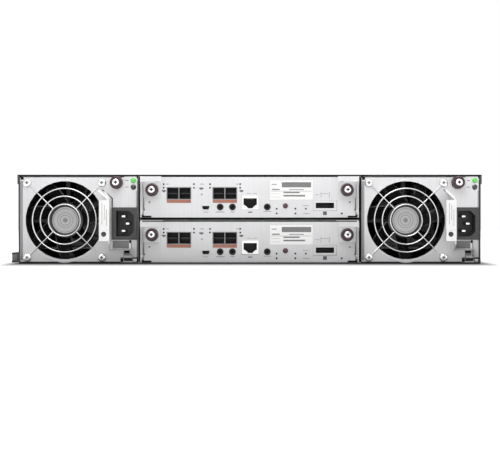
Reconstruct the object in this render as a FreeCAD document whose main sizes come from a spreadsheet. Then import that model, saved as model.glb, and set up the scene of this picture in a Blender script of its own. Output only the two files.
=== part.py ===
import FreeCAD, Part
import math
import os
from types import SimpleNamespace

import Sketcher

# A two-unit rack shelf for twelve large disk drives.
# +Z is up, +Y points to the drive side (front) and -Y to the side with the controllers (rear).
# The origin is the centre of the chassis underside.  All sizes are in millimetres.

SIZES = {
    # chassis
    "body_width": 443.0,
    "body_height": 85.5,
    "body_depth": 577.0,
    "tray_sheet": 1.2,
    "tray_bend": 1.8,
    "cover_sheet": 1.0,
    "cover_lip": 9.0,
    "guide_reach": 6.5,
    "guide_low": 1.4,
    "guide_height": 9.6,
    "guide_sheet": 1.6,
    "guide_length": 95.0,
    "partition_gap": 0.6,
    "partition_sheet": 1.4,
    "partition_inset": 0.8,
    "shelf_sheet": 1.5,
    "shelf_level": 41.3,
    "midplane_place": 85.0,
    "midplane_sheet": 2.4,
    "midplane_margin": 0.3,
    "midplane_vent_width": 46.0,
    "midplane_vent_height": 11.0,
    "socket_depth": 10.0,
    "controller_socket_width": 96.0,
    "controller_socket_height": 8.0,
    "psu_socket_width": 54.0,
    "psu_socket_height": 14.0,
    # drive bays
    "bay_columns_gap": 1.2,
    "bay_rows_gap": 0.8,
    "cage_depth": 186.0,
    "carrier_play": 0.25,
    "bezel_depth": 12.0,
    "bezel_proud": 4.0,
    "rail_sheet": 2.4,
    "rail_height": 22.0,
    "drive_play": 0.875,
    "drive_height": 25.4,
    "drive_length": 147.0,
    "drive_socket_width": 42.0,
    "drive_socket_height": 5.0,
    "drive_socket_depth": 7.0,
    "connector_play": 0.4,
    "lever_pivot_inset": 9.0,
    "lever_height": 13.0,
    "lever_length": 82.0,
    "lever_eye": 4.2,
    "lever_grip": 7.0,
    "lever_arm": 3.4,
    "lever_play": 0.5,
    "pin_radius": 1.5,
    "pin_play": 0.06,
    "vent_height": 2.4,
    "vent_width": 13.0,
    # rack ears
    "ear_reach": 19.8,
    "ear_sheet": 2.0,
    "ear_web_length": 45.0,
    "ear_web_inset": 14.0,
    "ear_web_sheet": 1.5,
    "rack_hole_edge": 8.75,
    "rack_hole_rise": 76.2,
    "rack_hole_radius": 3.5,
    "rack_hole_low": 4.65,
    "ear_cap_depth": 8.0,
    "ear_cap_round": 3.0,
    "ear_cap_margin": 1.5,
    # modules in general
    "module_sheet": 1.0,
    "face_proud": 0.6,
    # power modules
    "psu_gap": 0.5,
    "psu_width": 112.6,
    "psu_low": 1.7,
    "psu_height": 82.3,
    "psu_bend": 1.8,
    "psu_board_sheet": 1.6,
    "psu_board_level": 12.0,
    "psu_heatsink_height": 46.0,
    "fan_side": 13.6,
    "fan_level": 41.9,
    "fan_size": 78.2,
    "fan_depth": 25.4,
    "fan_corner": 2.4,
    "fan_bore": 38.2,
    "fan_opening": 37.3,
    "fan_screw_pitch": 71.5,
    "fan_screw_radius": 2.1,
    "fan_screw_head": 4.0,
    "fan_screw_head_height": 1.8,
    "fan_screw_length": 9.0,
    "fan_seat_play": 0.2,
    "motor_radius": 15.0,
    "motor_sheet": 2.0,
    "strut_width": 4.0,
    "hub_radius": 17.0,
    "hub_length": 17.0,
    "hub_wall": 1.4,
    "hub_inset": 3.0,
    "shaft_radius": 1.6,
    "blade_play": 0.9,
    "blade_chord": 19.0,
    "blade_thick": 1.5,
    "blade_slant": 40.0,
    "blade_count": 7,
    "guard_wire": 1.6,
    "guard_ring_outer": 30.5,
    "guard_ring_middle": 23.0,
    "guard_ring_inner": 15.2,
    "guard_eye": 3.9,
    "inlet_side": 42.65,
    "inlet_level": 38.65,
    "inlet_width": 26.7,
    "inlet_height": 31.1,
    "inlet_depth": 24.0,
    "inlet_play": 0.2,
    "inlet_flange": 0.8,
    "inlet_flange_sheet": 0.6,
    "socket_side": 44.2,
    "socket_width": 16.8,
    "socket_height": 24.4,
    "socket_recess": 17.0,
    "socket_chamfer": 4.6,
    "blade_pitch": 14.0,
    "blade_offset": 4.0,
    "blade_side": 42.2,
    "blade_width": 4.0,
    "blade_height": 2.0,
    "blade_inset": 4.0,
    "lamp_side": 52.2,
    "lamp_upper_level": 79.9,
    "lamp_lower_level": 73.6,
    "lamp_radius": 2.6,
    "lamp_proud": 0.8,
    "lamp_length": 8.0,
    "lamp_play": 0.1,
    "psu_screw_side": 36.0,
    "psu_screw_level": 78.0,
    # release lever of a power module
    "strip_sheet": 1.3,
    "strip_side": 31.4,
    "strip_top": 61.4,
    "tab_top": 68.7,
    "tab_side": 24.4,
    "foot_level": 13.3,
    "foot_side": 49.4,
    "strip_reach": 19.6,
    "tab_reach": 11.0,
    "strip_gap": 0.8,
    "strap_width": 8.4,
    "strap_low": 22.1,
    "strap_high": 60.9,
    "strap_sheet": 1.4,
    "psu_pivot_level": 7.0,
    "psu_pivot_inset": 3.4,
    "psu_lobe": 4.0,
    "psu_cam_width": 6.0,
    "psu_slot_play": 0.5,
    "psu_bracket_width": 4.6,
    # controller modules
    "layout_half_width": 104.6,
    "controller_height": 38.8,
    "controller_low": 1.6,
    "controller_pitch": 42.9,
    "board_sheet": 1.6,
    "board_gap": 3.0,
    "board_margin": 0.8,
    "host_side": 22.0,
    "host_middle": -45.7,
    "host_width": 22.2,
    "host_height": 10.4,
    "host_low": 18.0,
    "host_wall": 0.6,
    "host_divider": 1.6,
    "port_depth": 22.0,
    "port_recess": 16.0,
    "port_tongue_inset": 8.0,
    "port_tongue": 1.2,
    "port_play": 0.15,
    "network_side": 0.6,
    "network_width": 16.1,
    "network_height": 13.4,
    "network_low": 7.6,
    "network_opening": 12.7,
    "network_wall": 1.1,
    "network_step": 3.4,
    "network_tab_width": 6.0,
    "expander_side": 72.2,
    "expander_width": 22.5,
    "expander_height": 9.8,
    "expander_low": 6.6,
    "expander_opening_width": 17.4,
    "expander_opening_height": 5.2,
    "serial_side": -41.9,
    "serial_width": 8.4,
    "serial_height": 4.2,
    "serial_low": 7.2,
    "serial_wall": 0.6,
    "jack_level": 10.1,
    "jack_radius": 3.1,
    "jack_bore": 1.7,
    "jack_first": -28.2,
    "jack_second": -16.4,
    "jack_third": 16.9,
    "button_side": 34.3,
    "button_level": 11.2,
    "button_radius": 2.35,
    "button_play": 0.1,
    "button_proud": 1.3,
    "button_length": 8.0,
    "button_flange": 3.2,
    # latches and thumbscrews
    "latch_sheet": 1.6,
    "latch_inset": 3.0,
    "latch_top": 38.7,
    "latch_reach": 19.5,
    "latch_gap": 0.8,
    "latch_slot_top": 22.1,
    "latch_slot_play": 0.35,
    "latch_pivot_level": 7.0,
    "latch_pivot_inset": 3.3,
    "latch_lobe": 5.2,
    "latch_inner_reach": 8.0,
    "tab_width": 18.3,
    "tab_height": 4.9,
    "plate_width": 15.0,
    "plate_low": 19.4,
    "plate_high": 33.0,
    "screw_inset": 11.3,
    "screw_level": 26.4,
    "screw_shank": 2.0,
    "screw_play": 0.08,
    "screw_gap": 0.3,
    "grip_radius": 6.3,
    "grip_tip_radius": 5.4,
    "grip_length": 8.0,
    "grip_step": 5.0,
    "screw_head": 3.55,
    "screw_head_height": 1.4,
}


class Size:
    """A number together with the spreadsheet formula that gives it."""

    def __init__(self, value, text):
        self.value = value
        self.text = text

    def _with(self, other, sign, work, swap=False):
        other = as_size(other)
        first, second = (other, self) if swap else (self, other)
        return Size(work(first.value, second.value), f"({first.text} {sign} {second.text})")

    def __add__(self, other):
        return self._with(other, "+", lambda a, b: a + b)

    def __radd__(self, other):
        return self._with(other, "+", lambda a, b: a + b, swap=True)

    def __sub__(self, other):
        return self._with(other, "-", lambda a, b: a - b)

    def __rsub__(self, other):
        return self._with(other, "-", lambda a, b: a - b, swap=True)

    def __mul__(self, other):
        return self._with(other, "*", lambda a, b: a * b)

    def __rmul__(self, other):
        return self._with(other, "*", lambda a, b: a * b, swap=True)

    def __truediv__(self, other):
        return self._with(other, "/", lambda a, b: a / b)

    def __neg__(self):
        return Size(-self.value, f"(0 - {self.text})")


def as_size(value):
    return value if isinstance(value, Size) else Size(float(value), repr(float(value)))


def sine(angle):
    return Size(math.sin(math.radians(angle.value)), f"sin({angle.text})")


def cosine(angle):
    return Size(math.cos(math.radians(angle.value)), f"cos({angle.text})")


def arctangent(slope):
    return Size(math.degrees(math.atan(slope.value)), f"atan({slope.text})")


doc = FreeCAD.newDocument("DiskShelf")
sheet = doc.addObject("Spreadsheet::Sheet", "Sizes")
for row, (alias, number) in enumerate(SIZES.items(), start=1):
    sheet.set(f"A{row}", alias)
    sheet.set(f"B{row}", str(number))
    sheet.setAlias(f"B{row}", alias)
doc.recompute()
S = SimpleNamespace(**{alias: Size(number, f"Sizes.{alias}") for alias, number in SIZES.items()})

nodes = []
NORMAL = {"XY": 1, "XZ": -1, "YZ": 1}
BASE = {"XY": "XY_Plane", "XZ": "XZ_Plane", "YZ": "YZ_Plane"}


def bind(thing, name, size):
    """Ties a property of a document object to a formula of the spreadsheet."""
    thing.setExpression(name, as_size(size).text)


def place(thing, x=0, y=0, z=0):
    """Ties the place of an object, along each axis, to a formula."""
    for axis, size in zip("xyz", (x, y, z)):
        bind(thing, f"Placement.Base.{axis}", size)
    return thing


def node(thing, label):
    """Names an object as a sub-part that is written to a file of its own."""
    thing.Label = label
    nodes.append(thing)
    return thing


def circle(x, y, radius):
    return ("circle", as_size(x), as_size(y), as_size(radius))


# Sides of the many-sided outlines: wide duct and openings, fan hub, guard rings, small screws and pins.
RING_SIDES = 32
HUB_SIDES = 21
GUARD_SIDES = 16
SMALL_SIDES = 8


def flats(x, y, radius, sides=12):
    """A small round outline, drawn with flats whose middles lie on the circle, so a pin still fits it."""
    reach = radius / math.cos(math.pi / sides)
    turns = [2 * math.pi * (step + 0.5) / sides for step in range(sides)]
    return [(x + reach * math.cos(turn), y + reach * math.sin(turn)) for turn in turns]


def flats_within(x, y, radius, sides=12):
    """The same outline with its corners on the circle, for a pin or a head."""
    return flats(x, y, radius * math.cos(math.pi / sides), sides)


def rectangle(left, right, low, high, corner=None):
    """A rectangle between four sizes, with all its corners rounded or none."""
    ends = [(left, low), (right, low), (right, high), (left, high)]
    return [end if corner is None else (*end, corner) for end in ends]


def origin_feature(body, role):
    return next(part for part in body.Origin.OriginFeatures if part.Role == role)


def tangent_points(before, corner, after, radius):
    """Where a round of this radius meets the two sides of a corner, and its centre."""
    to_before = (before - corner).normalize()
    to_after = (after - corner).normalize()
    half = to_before.getAngle(to_after) / 2
    reach = radius / math.tan(half)
    middle = (to_before + to_after).normalize() * (radius / math.sin(half))
    return corner + to_before * reach, corner + to_after * reach, corner + middle


class Drawing:
    """A sketch whose shapes and held sizes are gathered first, then given to the solver together."""

    def __init__(self, sketch):
        self.sketch = sketch
        self.rules = []
        self.sizes = []

    def shape(self, geometry, helper=False):
        return self.sketch.addGeometry(geometry, helper)

    def rule(self, *parts):
        self.rules.append(Sketcher.Constraint(*parts))
        self.sizes.append(None)

    def hold(self, size, *parts):
        """A constraint whose value is tied to a formula."""
        self.rules.append(Sketcher.Constraint(*parts, size.value))
        self.sizes.append(size)

    def fix_point(self, geometry, end, x, y):
        """Holds a point at two formulas, measured from the sketch's origin."""
        self.hold(x, "DistanceX", -1, 1, geometry, end)
        self.hold(y, "DistanceY", -1, 1, geometry, end)

    def finish(self):
        self.sketch.addConstraint(self.rules)
        for index, size in enumerate(self.sizes):
            if size is not None:
                bind(self.sketch, f"Constraints[{index}]", size)


def draw_circle(drawing, x, y, radius):
    centre = FreeCAD.Vector(x.value, y.value, 0)
    index = drawing.shape(Part.Circle(centre, FreeCAD.Vector(0, 0, 1), radius.value))
    drawing.fix_point(index, 3, x, y)
    drawing.hold(radius, "Radius", index)


def draw_outline(drawing, corners):
    """Draws a closed outline.  A corner is (x, y), or (x, y, radius) where it is rounded."""
    sizes = [tuple(as_size(part) for part in corner) for corner in corners]
    spots = [FreeCAD.Vector(size[0].value, size[1].value, 0) for size in sizes]
    count = len(sizes)
    arrive, leave, centres = [], [], []
    for i, size in enumerate(sizes):
        first, last, centre = spots[i], spots[i], None
        if len(size) == 3:
            first, last, centre = tangent_points(spots[i - 1], spots[i], spots[(i + 1) % count], size[2].value)
        arrive.append(first)
        leave.append(last)
        centres.append(centre)
    lines = [drawing.shape(Part.LineSegment(leave[i], arrive[(i + 1) % count])) for i in range(count)]
    for i, size in enumerate(sizes):
        before, after = lines[i - 1], lines[i]
        if centres[i] is None:
            drawing.rule("Coincident", before, 2, after, 1)
            drawing.fix_point(after, 1, size[0], size[1])
            continue
        corner = drawing.shape(Part.Point(spots[i]), True)
        drawing.fix_point(corner, 1, size[0], size[1])
        start = math.atan2(arrive[i].y - centres[i].y, arrive[i].x - centres[i].x)
        stop = math.atan2(leave[i].y - centres[i].y, leave[i].x - centres[i].x)
        turns_left = (stop - start) % (2 * math.pi) < math.pi
        low, high = (start, stop) if turns_left else (stop, start)
        ends = (1, 2) if turns_left else (2, 1)
        round_circle = Part.Circle(centres[i], FreeCAD.Vector(0, 0, 1), size[2].value)
        arc = drawing.shape(Part.ArcOfCircle(round_circle, low, high))
        drawing.rule("PointOnObject", corner, 1, before)
        drawing.rule("PointOnObject", corner, 1, after)
        drawing.rule("Tangent", before, 2, arc, ends[0])
        drawing.rule("Tangent", arc, ends[1], after, 1)
        drawing.hold(size[2], "Radius", arc)


def draw(body, plane, loops, level):
    """A sketch of closed loops, parallel to an origin plane of the body and moved along its axis to level."""
    sketch = body.newObject("Sketcher::SketchObject", "Sketch")
    sketch.AttachmentSupport = [(origin_feature(body, BASE[plane]), "")]
    sketch.MapMode = "FlatFace"
    bind(sketch, "AttachmentOffset.Base.z", level * NORMAL[plane])
    drawing = Drawing(sketch)
    for loop in loops:
        if loop[0] == "circle":
            draw_circle(drawing, *loop[1:])
        else:
            draw_outline(drawing, loop)
    drawing.finish()
    return sketch


def new_body(label):
    return doc.addObject("PartDesign::Body", label)


def add(body, plane, loops, low, high):
    """Pads loops from low to high along the axis that the plane faces."""
    sketch = draw(body, plane, loops, as_size(low) if NORMAL[plane] > 0 else as_size(high))
    pad = body.newObject("PartDesign::Pad", "Pad")
    pad.Profile = sketch
    bind(pad, "Length", as_size(high) - low)
    return pad


def remove(body, plane, loops, low, high):
    """Pockets loops from low to high along the axis that the plane faces."""
    sketch = draw(body, plane, loops, as_size(high) if NORMAL[plane] > 0 else as_size(low))
    pocket = body.newObject("PartDesign::Pocket", "Pocket")
    pocket.Profile = sketch
    bind(pocket, "Length", as_size(high) - low)
    return pocket


def block(label, x, y, z):
    """A plain box between a low and a high formula along each axis."""
    made = doc.addObject("Part::Box", label)
    for name, axis, (low, high) in zip(("Length", "Width", "Height"), "xyz", (x, y, z)):
        bind(made, name, as_size(high) - low)
        bind(made, f"Placement.Base.{axis}", low)
    return made


def group(label, things):
    made = doc.addObject("Part::Compound", label)
    made.Links = things
    return made


def mirrored(label, thing):
    """The same piece for the other side of the X = 0 plane."""
    made = doc.addObject("Part::Mirroring", label)
    made.Source = thing
    made.Normal = (1, 0, 0)
    return made


# Planes and levels that several pieces share.
rear = -(S.body_depth / 2)
front = S.body_depth / 2
half_width = S.body_width / 2
inner_half = half_width - S.tray_sheet
ceiling = S.body_height - S.cover_sheet
tray_front = front - S.ear_sheet
psu_half = S.psu_width / 2
psu_offset = inner_half - S.psu_gap - psu_half
partition_side = psu_offset - psu_half - S.partition_gap - S.partition_sheet


def make_tray():
    """Floor and sides bent from one sheet, with the rail guide channel at the lower left."""
    body = new_body("chassis_tray")
    bend = S.tray_bend
    inside = S.tray_bend - S.tray_sheet
    profile = [
        (-half_width, 0, bend), (half_width, 0, bend), (half_width, ceiling), (inner_half, ceiling),
        (inner_half, S.tray_sheet, inside), (-inner_half, S.tray_sheet, inside), (-inner_half, ceiling),
        (-half_width, ceiling),
    ]
    add(body, "XZ", [profile], rear, tray_front)
    outer = -half_width - S.guide_reach
    stem = -half_width - S.guide_sheet
    low = S.guide_low
    high = S.guide_low + S.guide_height
    low_inner = S.guide_low + S.guide_sheet
    high_inner = high - S.guide_sheet
    start = S.tray_bend
    channel = [
        (-half_width, start), (-half_width, high), (outer, high), (outer, high_inner), (stem, high_inner),
        (stem, low_inner), (outer, low_inner), (outer, low), (stem, low),
    ]
    add(body, "XZ", [channel], rear, rear + S.guide_length)
    return body


def make_cover():
    """Top plate whose lips hang down outside the tray."""
    body = new_body("top_cover")
    outer = half_width + S.cover_sheet
    lip_end = S.body_height - S.cover_lip
    profile = [
        (-outer, S.body_height), (-outer, lip_end), (-half_width, lip_end), (-half_width, ceiling),
        (half_width, ceiling), (half_width, lip_end), (outer, lip_end), (outer, S.body_height),
    ]
    add(body, "XZ", [profile], rear, tray_front)
    return body


def make_partitions():
    """Two walls that divide the power bays from the controller bay, and the shelf between controllers."""
    back = rear + S.partition_inset
    end = S.midplane_place
    wall_far = partition_side + S.partition_sheet
    right = new_body("partition_right")
    add(right, "XZ", [rectangle(partition_side, wall_far, S.tray_sheet, ceiling)], back, end)
    left = mirrored("partition_left", right)
    shelf = new_body("controller_shelf")
    shelf_high = S.shelf_level + S.shelf_sheet
    side = partition_side
    add(shelf, "XZ", [rectangle(-side, side, S.shelf_level, shelf_high)], back, end - S.socket_depth)
    return group("bay_partitions", [right, left, shelf])


# The drive bays: four columns and three rows.
COLUMNS = 4
ROWS = 3
cage_back = tray_front - S.cage_depth
column_pitch = (2 * inner_half - S.bay_columns_gap) / COLUMNS
row_pitch = (ceiling - S.tray_sheet - S.bay_rows_gap) / ROWS
bay_width = column_pitch - S.bay_columns_gap
bay_height = row_pitch - S.bay_rows_gap
midplane_front = S.midplane_place + S.midplane_sheet


def bay_left(column):
    return S.bay_columns_gap + column_pitch * column - inner_half


def bay_low(row):
    return S.tray_sheet + S.bay_rows_gap + row_pitch * row


def make_cage():
    """Shelves across the chassis, with upright dividers between them."""
    plates = []
    for row in range(ROWS + 1):
        low = bay_low(row) - S.bay_rows_gap
        # The lowest shelf lies on the floor, between the tray's rounded corners.
        side = inner_half if row else inner_half - S.tray_bend + S.tray_sheet
        shelf = block(f"cage_shelf_{row}", (-side, side), (cage_back, tray_front),
                      (low, low + S.bay_rows_gap))
        plates.append(shelf)
        if row == ROWS:
            continue
        for column in range(COLUMNS + 1):
            left = bay_left(column) - S.bay_columns_gap
            upright = block(f"cage_divider_{row}_{column}", (left, left + S.bay_columns_gap),
                            (cage_back, tray_front), (bay_low(row), bay_low(row) + bay_height))
            plates.append(upright)
    return group("drive_cage", plates)


def make_midplane():
    """Board across the chassis with a socket for every module and drive, and vents between them."""
    back = S.midplane_place
    side = inner_half - S.midplane_margin
    low = S.tray_sheet + S.midplane_margin
    high = ceiling - S.midplane_margin
    board = new_body("midplane_plate")
    vents = []
    for column in range(COLUMNS):
        middle = bay_left(column) + bay_width / 2
        for row in range(ROWS):
            vent_low = bay_low(row) + (bay_height + S.drive_socket_height) / 2 + S.vent_height / 2
            vent_high = vent_low + S.midplane_vent_height - S.vent_height
            half = S.midplane_vent_width / 2
            if row < ROWS - 1:
                vents.append(rectangle(middle - half, middle + half, vent_low, vent_high))
    add(board, "XZ", [rectangle(-side, side, low, high), *vents], back, midplane_front)
    sockets = []
    for number, level in enumerate((S.controller_low, S.controller_low + S.controller_pitch)):
        half = S.controller_socket_width / 2
        base = level + S.board_gap + S.board_sheet
        sockets.append(block(f"controller_socket_{number}", (-half, half), (back - S.socket_depth, back),
                             (base, base + S.controller_socket_height)))
    for side_name, middle in (("left", -psu_offset), ("right", psu_offset)):
        half = S.psu_socket_width / 2
        base = S.psu_low + S.psu_board_level
        sockets.append(block(f"psu_socket_{side_name}", (middle - half, middle + half),
                             (back - S.socket_depth, back), (base, base + S.psu_socket_height)))
    for column in range(COLUMNS):
        for row in range(ROWS):
            middle = bay_left(column) + bay_width / 2
            base = bay_low(row) + (bay_height - S.drive_socket_height) / 2
            half = S.drive_socket_width / 2
            sockets.append(block(f"drive_socket_{row}_{column}", (middle - half, middle + half),
                                 (midplane_front, midplane_front + S.drive_socket_depth),
                                 (base, base + S.drive_socket_height)))
    return group("midplane_board", [board, *sockets])


def make_ears():
    """Angle brackets that bolt the shelf to the rack, each with a moulded cap between its two holes."""
    flange_back = front - S.ear_sheet
    flange_end = half_width + S.ear_reach
    hole_side = flange_end - S.rack_hole_edge
    web_end = half_width + S.ear_web_sheet
    web_low = S.ear_web_inset
    web_high = S.body_height - S.ear_web_inset
    right = new_body("ear_right")
    holes = [circle(hole_side, level, S.rack_hole_radius)
             for level in (S.rack_hole_low, S.rack_hole_low + S.rack_hole_rise)]
    add(right, "XZ", [rectangle(half_width, flange_end, 0, S.body_height), *holes], flange_back, front)
    add(right, "XZ", [rectangle(half_width, web_end, web_low, web_high)],
        flange_back - S.ear_web_length, flange_back)
    cap = new_body("ear_cap_right")
    cap_low = S.rack_hole_low + S.rack_hole_radius + S.ear_cap_margin * 2
    cap_high = S.rack_hole_low + S.rack_hole_rise - S.rack_hole_radius - S.ear_cap_margin * 2
    cap_left = half_width + S.ear_cap_margin
    cap_right = flange_end - S.ear_cap_margin
    clip = S.ear_cap_round
    outline = [(cap_left, cap_low), (cap_right - clip, cap_low), (cap_right, cap_low + clip),
               (cap_right, cap_high - clip), (cap_right - clip, cap_high), (cap_left, cap_high)]
    add(cap, "XZ", [outline], front, front + S.ear_cap_depth)
    return group("rack_ears", [right, mirrored("ear_left", right), cap, mirrored("ear_cap_left", cap)])


# Drive carriers are drawn about the middle of their bay, its lower edge and the front plane.
bezel_half = bay_width / 2 - S.carrier_play
bezel_low = S.carrier_play
bezel_high = bay_height - S.carrier_play
bezel_face = S.bezel_proud
bezel_back = bezel_face - S.bezel_depth
lever_pivot = S.lever_pivot_inset - bezel_half
lever_floor = bezel_face - S.lever_grip - S.lever_play


def make_sled():
    """Bezel and side rails in one moulding, with the lever's recess, its pivot pin and vents."""
    body = new_body("sled")
    rail_end = midplane_front + S.drive_socket_depth + S.connector_play - front
    middle = bay_height / 2
    add(body, "XZ", [rectangle(-bezel_half, bezel_half, bezel_low, bezel_high)], bezel_back, bezel_face)
    rail_low = middle - S.rail_height / 2
    rail_high = middle + S.rail_height / 2
    rail_inner = bezel_half - S.rail_sheet
    for left, right in ((-bezel_half, -rail_inner), (rail_inner, bezel_half)):
        add(body, "XZ", [rectangle(left, right, rail_low, rail_high)], rail_end, bezel_back)
    recess_left = lever_pivot - S.lever_eye - S.lever_play
    recess_right = lever_pivot + S.lever_length + S.lever_play
    half = S.lever_height / 2 + S.lever_play
    remove(body, "XZ", [rectangle(recess_left, recess_right, middle - half, middle + half)],
           lever_floor, bezel_face)
    pin_centre = bezel_face - S.lever_grip / 2
    pin = flats_within(lever_pivot, pin_centre, S.pin_radius, SMALL_SIDES)
    add(body, "XY", [pin], middle - half, middle + half)
    margin = (bezel_high - middle - half - S.vent_height) / 2
    vents = []
    for left in (recess_left + S.vent_width / 2, S.vent_width / 2):
        for low in (bezel_low + margin, bezel_high - margin - S.vent_height):
            vents.append(rectangle(left, left + S.vent_width * 2, low, low + S.vent_height))
    remove(body, "XZ", vents, bezel_back, bezel_face)
    return body


def make_disk():
    """The drive itself, between the rails, with its connector end at the midplane socket."""
    back = midplane_front + S.drive_socket_depth + S.connector_play - front
    half = bezel_half - S.rail_sheet - S.drive_play
    low = (bay_height - S.drive_height) / 2
    return block("disk", (-half, half), (back, back + S.drive_length), (low, low + S.drive_height))


def make_carrier_lever():
    """Cam lever: a round eye on the pivot pin, a slim arm and a thicker finger grip at the free end."""
    body = new_body("carrier_lever")
    face = bezel_face
    centre = face - S.lever_grip / 2
    low = (bay_height - S.lever_height) / 2
    high = (bay_height + S.lever_height) / 2
    tip = lever_pivot + S.lever_length
    grip = tip - S.lever_grip * 1.6
    arm_back = face - S.lever_arm
    outline = [
        (lever_pivot, face), (lever_pivot, arm_back), (grip, arm_back),
        (grip + S.lever_arm, face - S.lever_grip), (tip, face - S.lever_grip), (tip, face),
    ]
    add(body, "XY", [outline], low, high)
    add(body, "XY", [flats_within(lever_pivot, centre, S.lever_grip / 2)], low, high)
    remove(body, "XY", [flats(lever_pivot, centre, S.pin_radius + S.pin_play, SMALL_SIDES)], low, high)
    return body


def make_carriers():
    """One carrier and one lever for every bay, all alike."""
    sled = make_sled()
    disk = make_disk()
    lever = make_carrier_lever()
    number = 0
    for row in range(ROWS):
        for column in range(COLUMNS):
            number += 1
            spot = {"x": bay_left(column) + bay_width / 2, "y": front, "z": bay_low(row)}
            carrier = group(f"carrier_{number}", [sled, disk])
            node(place(carrier, **spot), f"drive_carrier_{number:02d}")
            handle = group(f"handle_{number}", [lever])
            node(place(handle, **spot), f"carrier_lever_{number:02d}")


# Power modules are drawn about the middle of their bay, the chassis underside and the rear plane.
face_out = -S.face_proud
face_in = S.module_sheet - S.face_proud
module_end = S.midplane_place - S.socket_depth - S.connector_play - rear
psu_high = S.psu_low + S.psu_height
fan_x = -S.fan_side
fan_front = face_in + S.fan_seat_play
fan_back = fan_front + S.fan_depth
screw_reach = S.fan_screw_pitch / 2
fan_screws = [(fan_x + a * screw_reach, S.fan_level + b * screw_reach) for a in (-1, 1) for b in (-1, 1)]
psu_pivot_y = face_out + S.psu_pivot_inset
slot_left = S.foot_side - S.psu_cam_width - S.psu_slot_play
slot_right = S.foot_side + S.strip_sheet + S.psu_slot_play
inlet_half = S.inlet_width / 2 - S.inlet_flange - S.inlet_play
inlet_low = S.inlet_level - S.inlet_height / 2 + S.inlet_flange
inlet_high = S.inlet_level + S.inlet_height / 2 - S.inlet_flange


def make_psu_case():
    """Sheet case with its pierced faceplate, the power board inside and the lever's pivot bracket."""
    shell = new_body("psu_shell")
    wall = S.module_sheet
    outside = rectangle(-psu_half, psu_half, S.psu_low, psu_high, S.psu_bend)
    inside = rectangle(wall - psu_half, psu_half - wall, S.psu_low + wall, psu_high - wall)
    add(shell, "XZ", [outside, inside], face_in, module_end - wall)
    add(shell, "XZ", [outside], module_end - wall, module_end)
    play = S.inlet_play
    slot_high = S.foot_level - S.psu_slot_play
    face_holes = [
        flats(fan_x, S.fan_level, S.fan_opening, RING_SIDES),
        *[flats(x, z, S.fan_screw_radius, SMALL_SIDES) for x, z in fan_screws],
        rectangle(S.inlet_side - inlet_half - play, S.inlet_side + inlet_half + play, inlet_low - play,
                  inlet_high + play),
        flats(S.lamp_side, S.lamp_upper_level, S.lamp_radius + S.lamp_play, SMALL_SIDES),
        flats(S.lamp_side, S.lamp_lower_level, S.lamp_radius + S.lamp_play, SMALL_SIDES),
        flats(S.psu_screw_side, S.psu_screw_level, S.screw_shank + S.screw_play),
    ]
    add(shell, "XZ", [outside, *face_holes], face_out, face_in)
    remove(shell, "XZ", [rectangle(slot_left, slot_right, S.psu_low + wall, slot_high)],
           face_out, face_in)
    bracket_left = slot_right
    bracket_right = bracket_left + S.psu_bracket_width
    add(shell, "XZ", [rectangle(bracket_left, bracket_right, S.psu_low + wall, slot_high)],
        face_in, psu_pivot_y + S.psu_lobe)
    pin_left = S.foot_side - S.psu_cam_width
    add(shell, "YZ", [flats_within(psu_pivot_y, S.psu_pivot_level, S.pin_radius)], pin_left, bracket_left)
    board_low = S.psu_low + S.psu_board_level
    board_high = board_low + S.psu_board_sheet
    board_side = psu_half - S.module_sheet
    board_start = fan_back + S.inlet_depth
    board_end = module_end - wall
    board = block("power_board", (-board_side, board_side), (board_start, board_end),
                  (board_low, board_high))
    sink = block("heat_sink", (-board_side / 2, board_side / 2), (board_start * 2, board_end / 1.5),
                 (board_high, board_high + S.psu_heatsink_height))
    return group("psu_case", [shell, board, sink])


def make_fan_frame():
    """Square fan housing with a round duct, and the motor plate with its shaft on struts at the back."""
    body = new_body("fan_frame")
    half = S.fan_size / 2
    clip = half - S.fan_corner
    square = [(-half, -clip), (-clip, -half), (clip, -half), (half, -clip), (half, clip), (clip, half),
              (-clip, half), (-half, clip)]
    holes = [flats(a * screw_reach, b * screw_reach, S.fan_screw_radius, SMALL_SIDES)
             for a in (-1, 1) for b in (-1, 1)]
    motor_front = S.fan_depth - S.motor_sheet
    add(body, "XZ", [square, flats(0, 0, S.fan_bore, RING_SIDES), *holes], 0, S.fan_depth)
    strut = S.strut_width / 2
    reach = S.fan_bore + S.motor_sheet / 2
    add(body, "XZ", [rectangle(-reach, reach, -strut, strut)], motor_front, S.fan_depth)
    add(body, "XZ", [rectangle(-strut, strut, -reach, reach)], motor_front, S.fan_depth)
    add(body, "XZ", [flats_within(0, 0, S.motor_radius)], motor_front, S.fan_depth)
    shaft_tip = S.hub_inset + S.hub_wall + S.fan_seat_play
    add(body, "XZ", [circle(0, 0, S.shaft_radius)], shaft_tip, motor_front)
    return body


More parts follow.
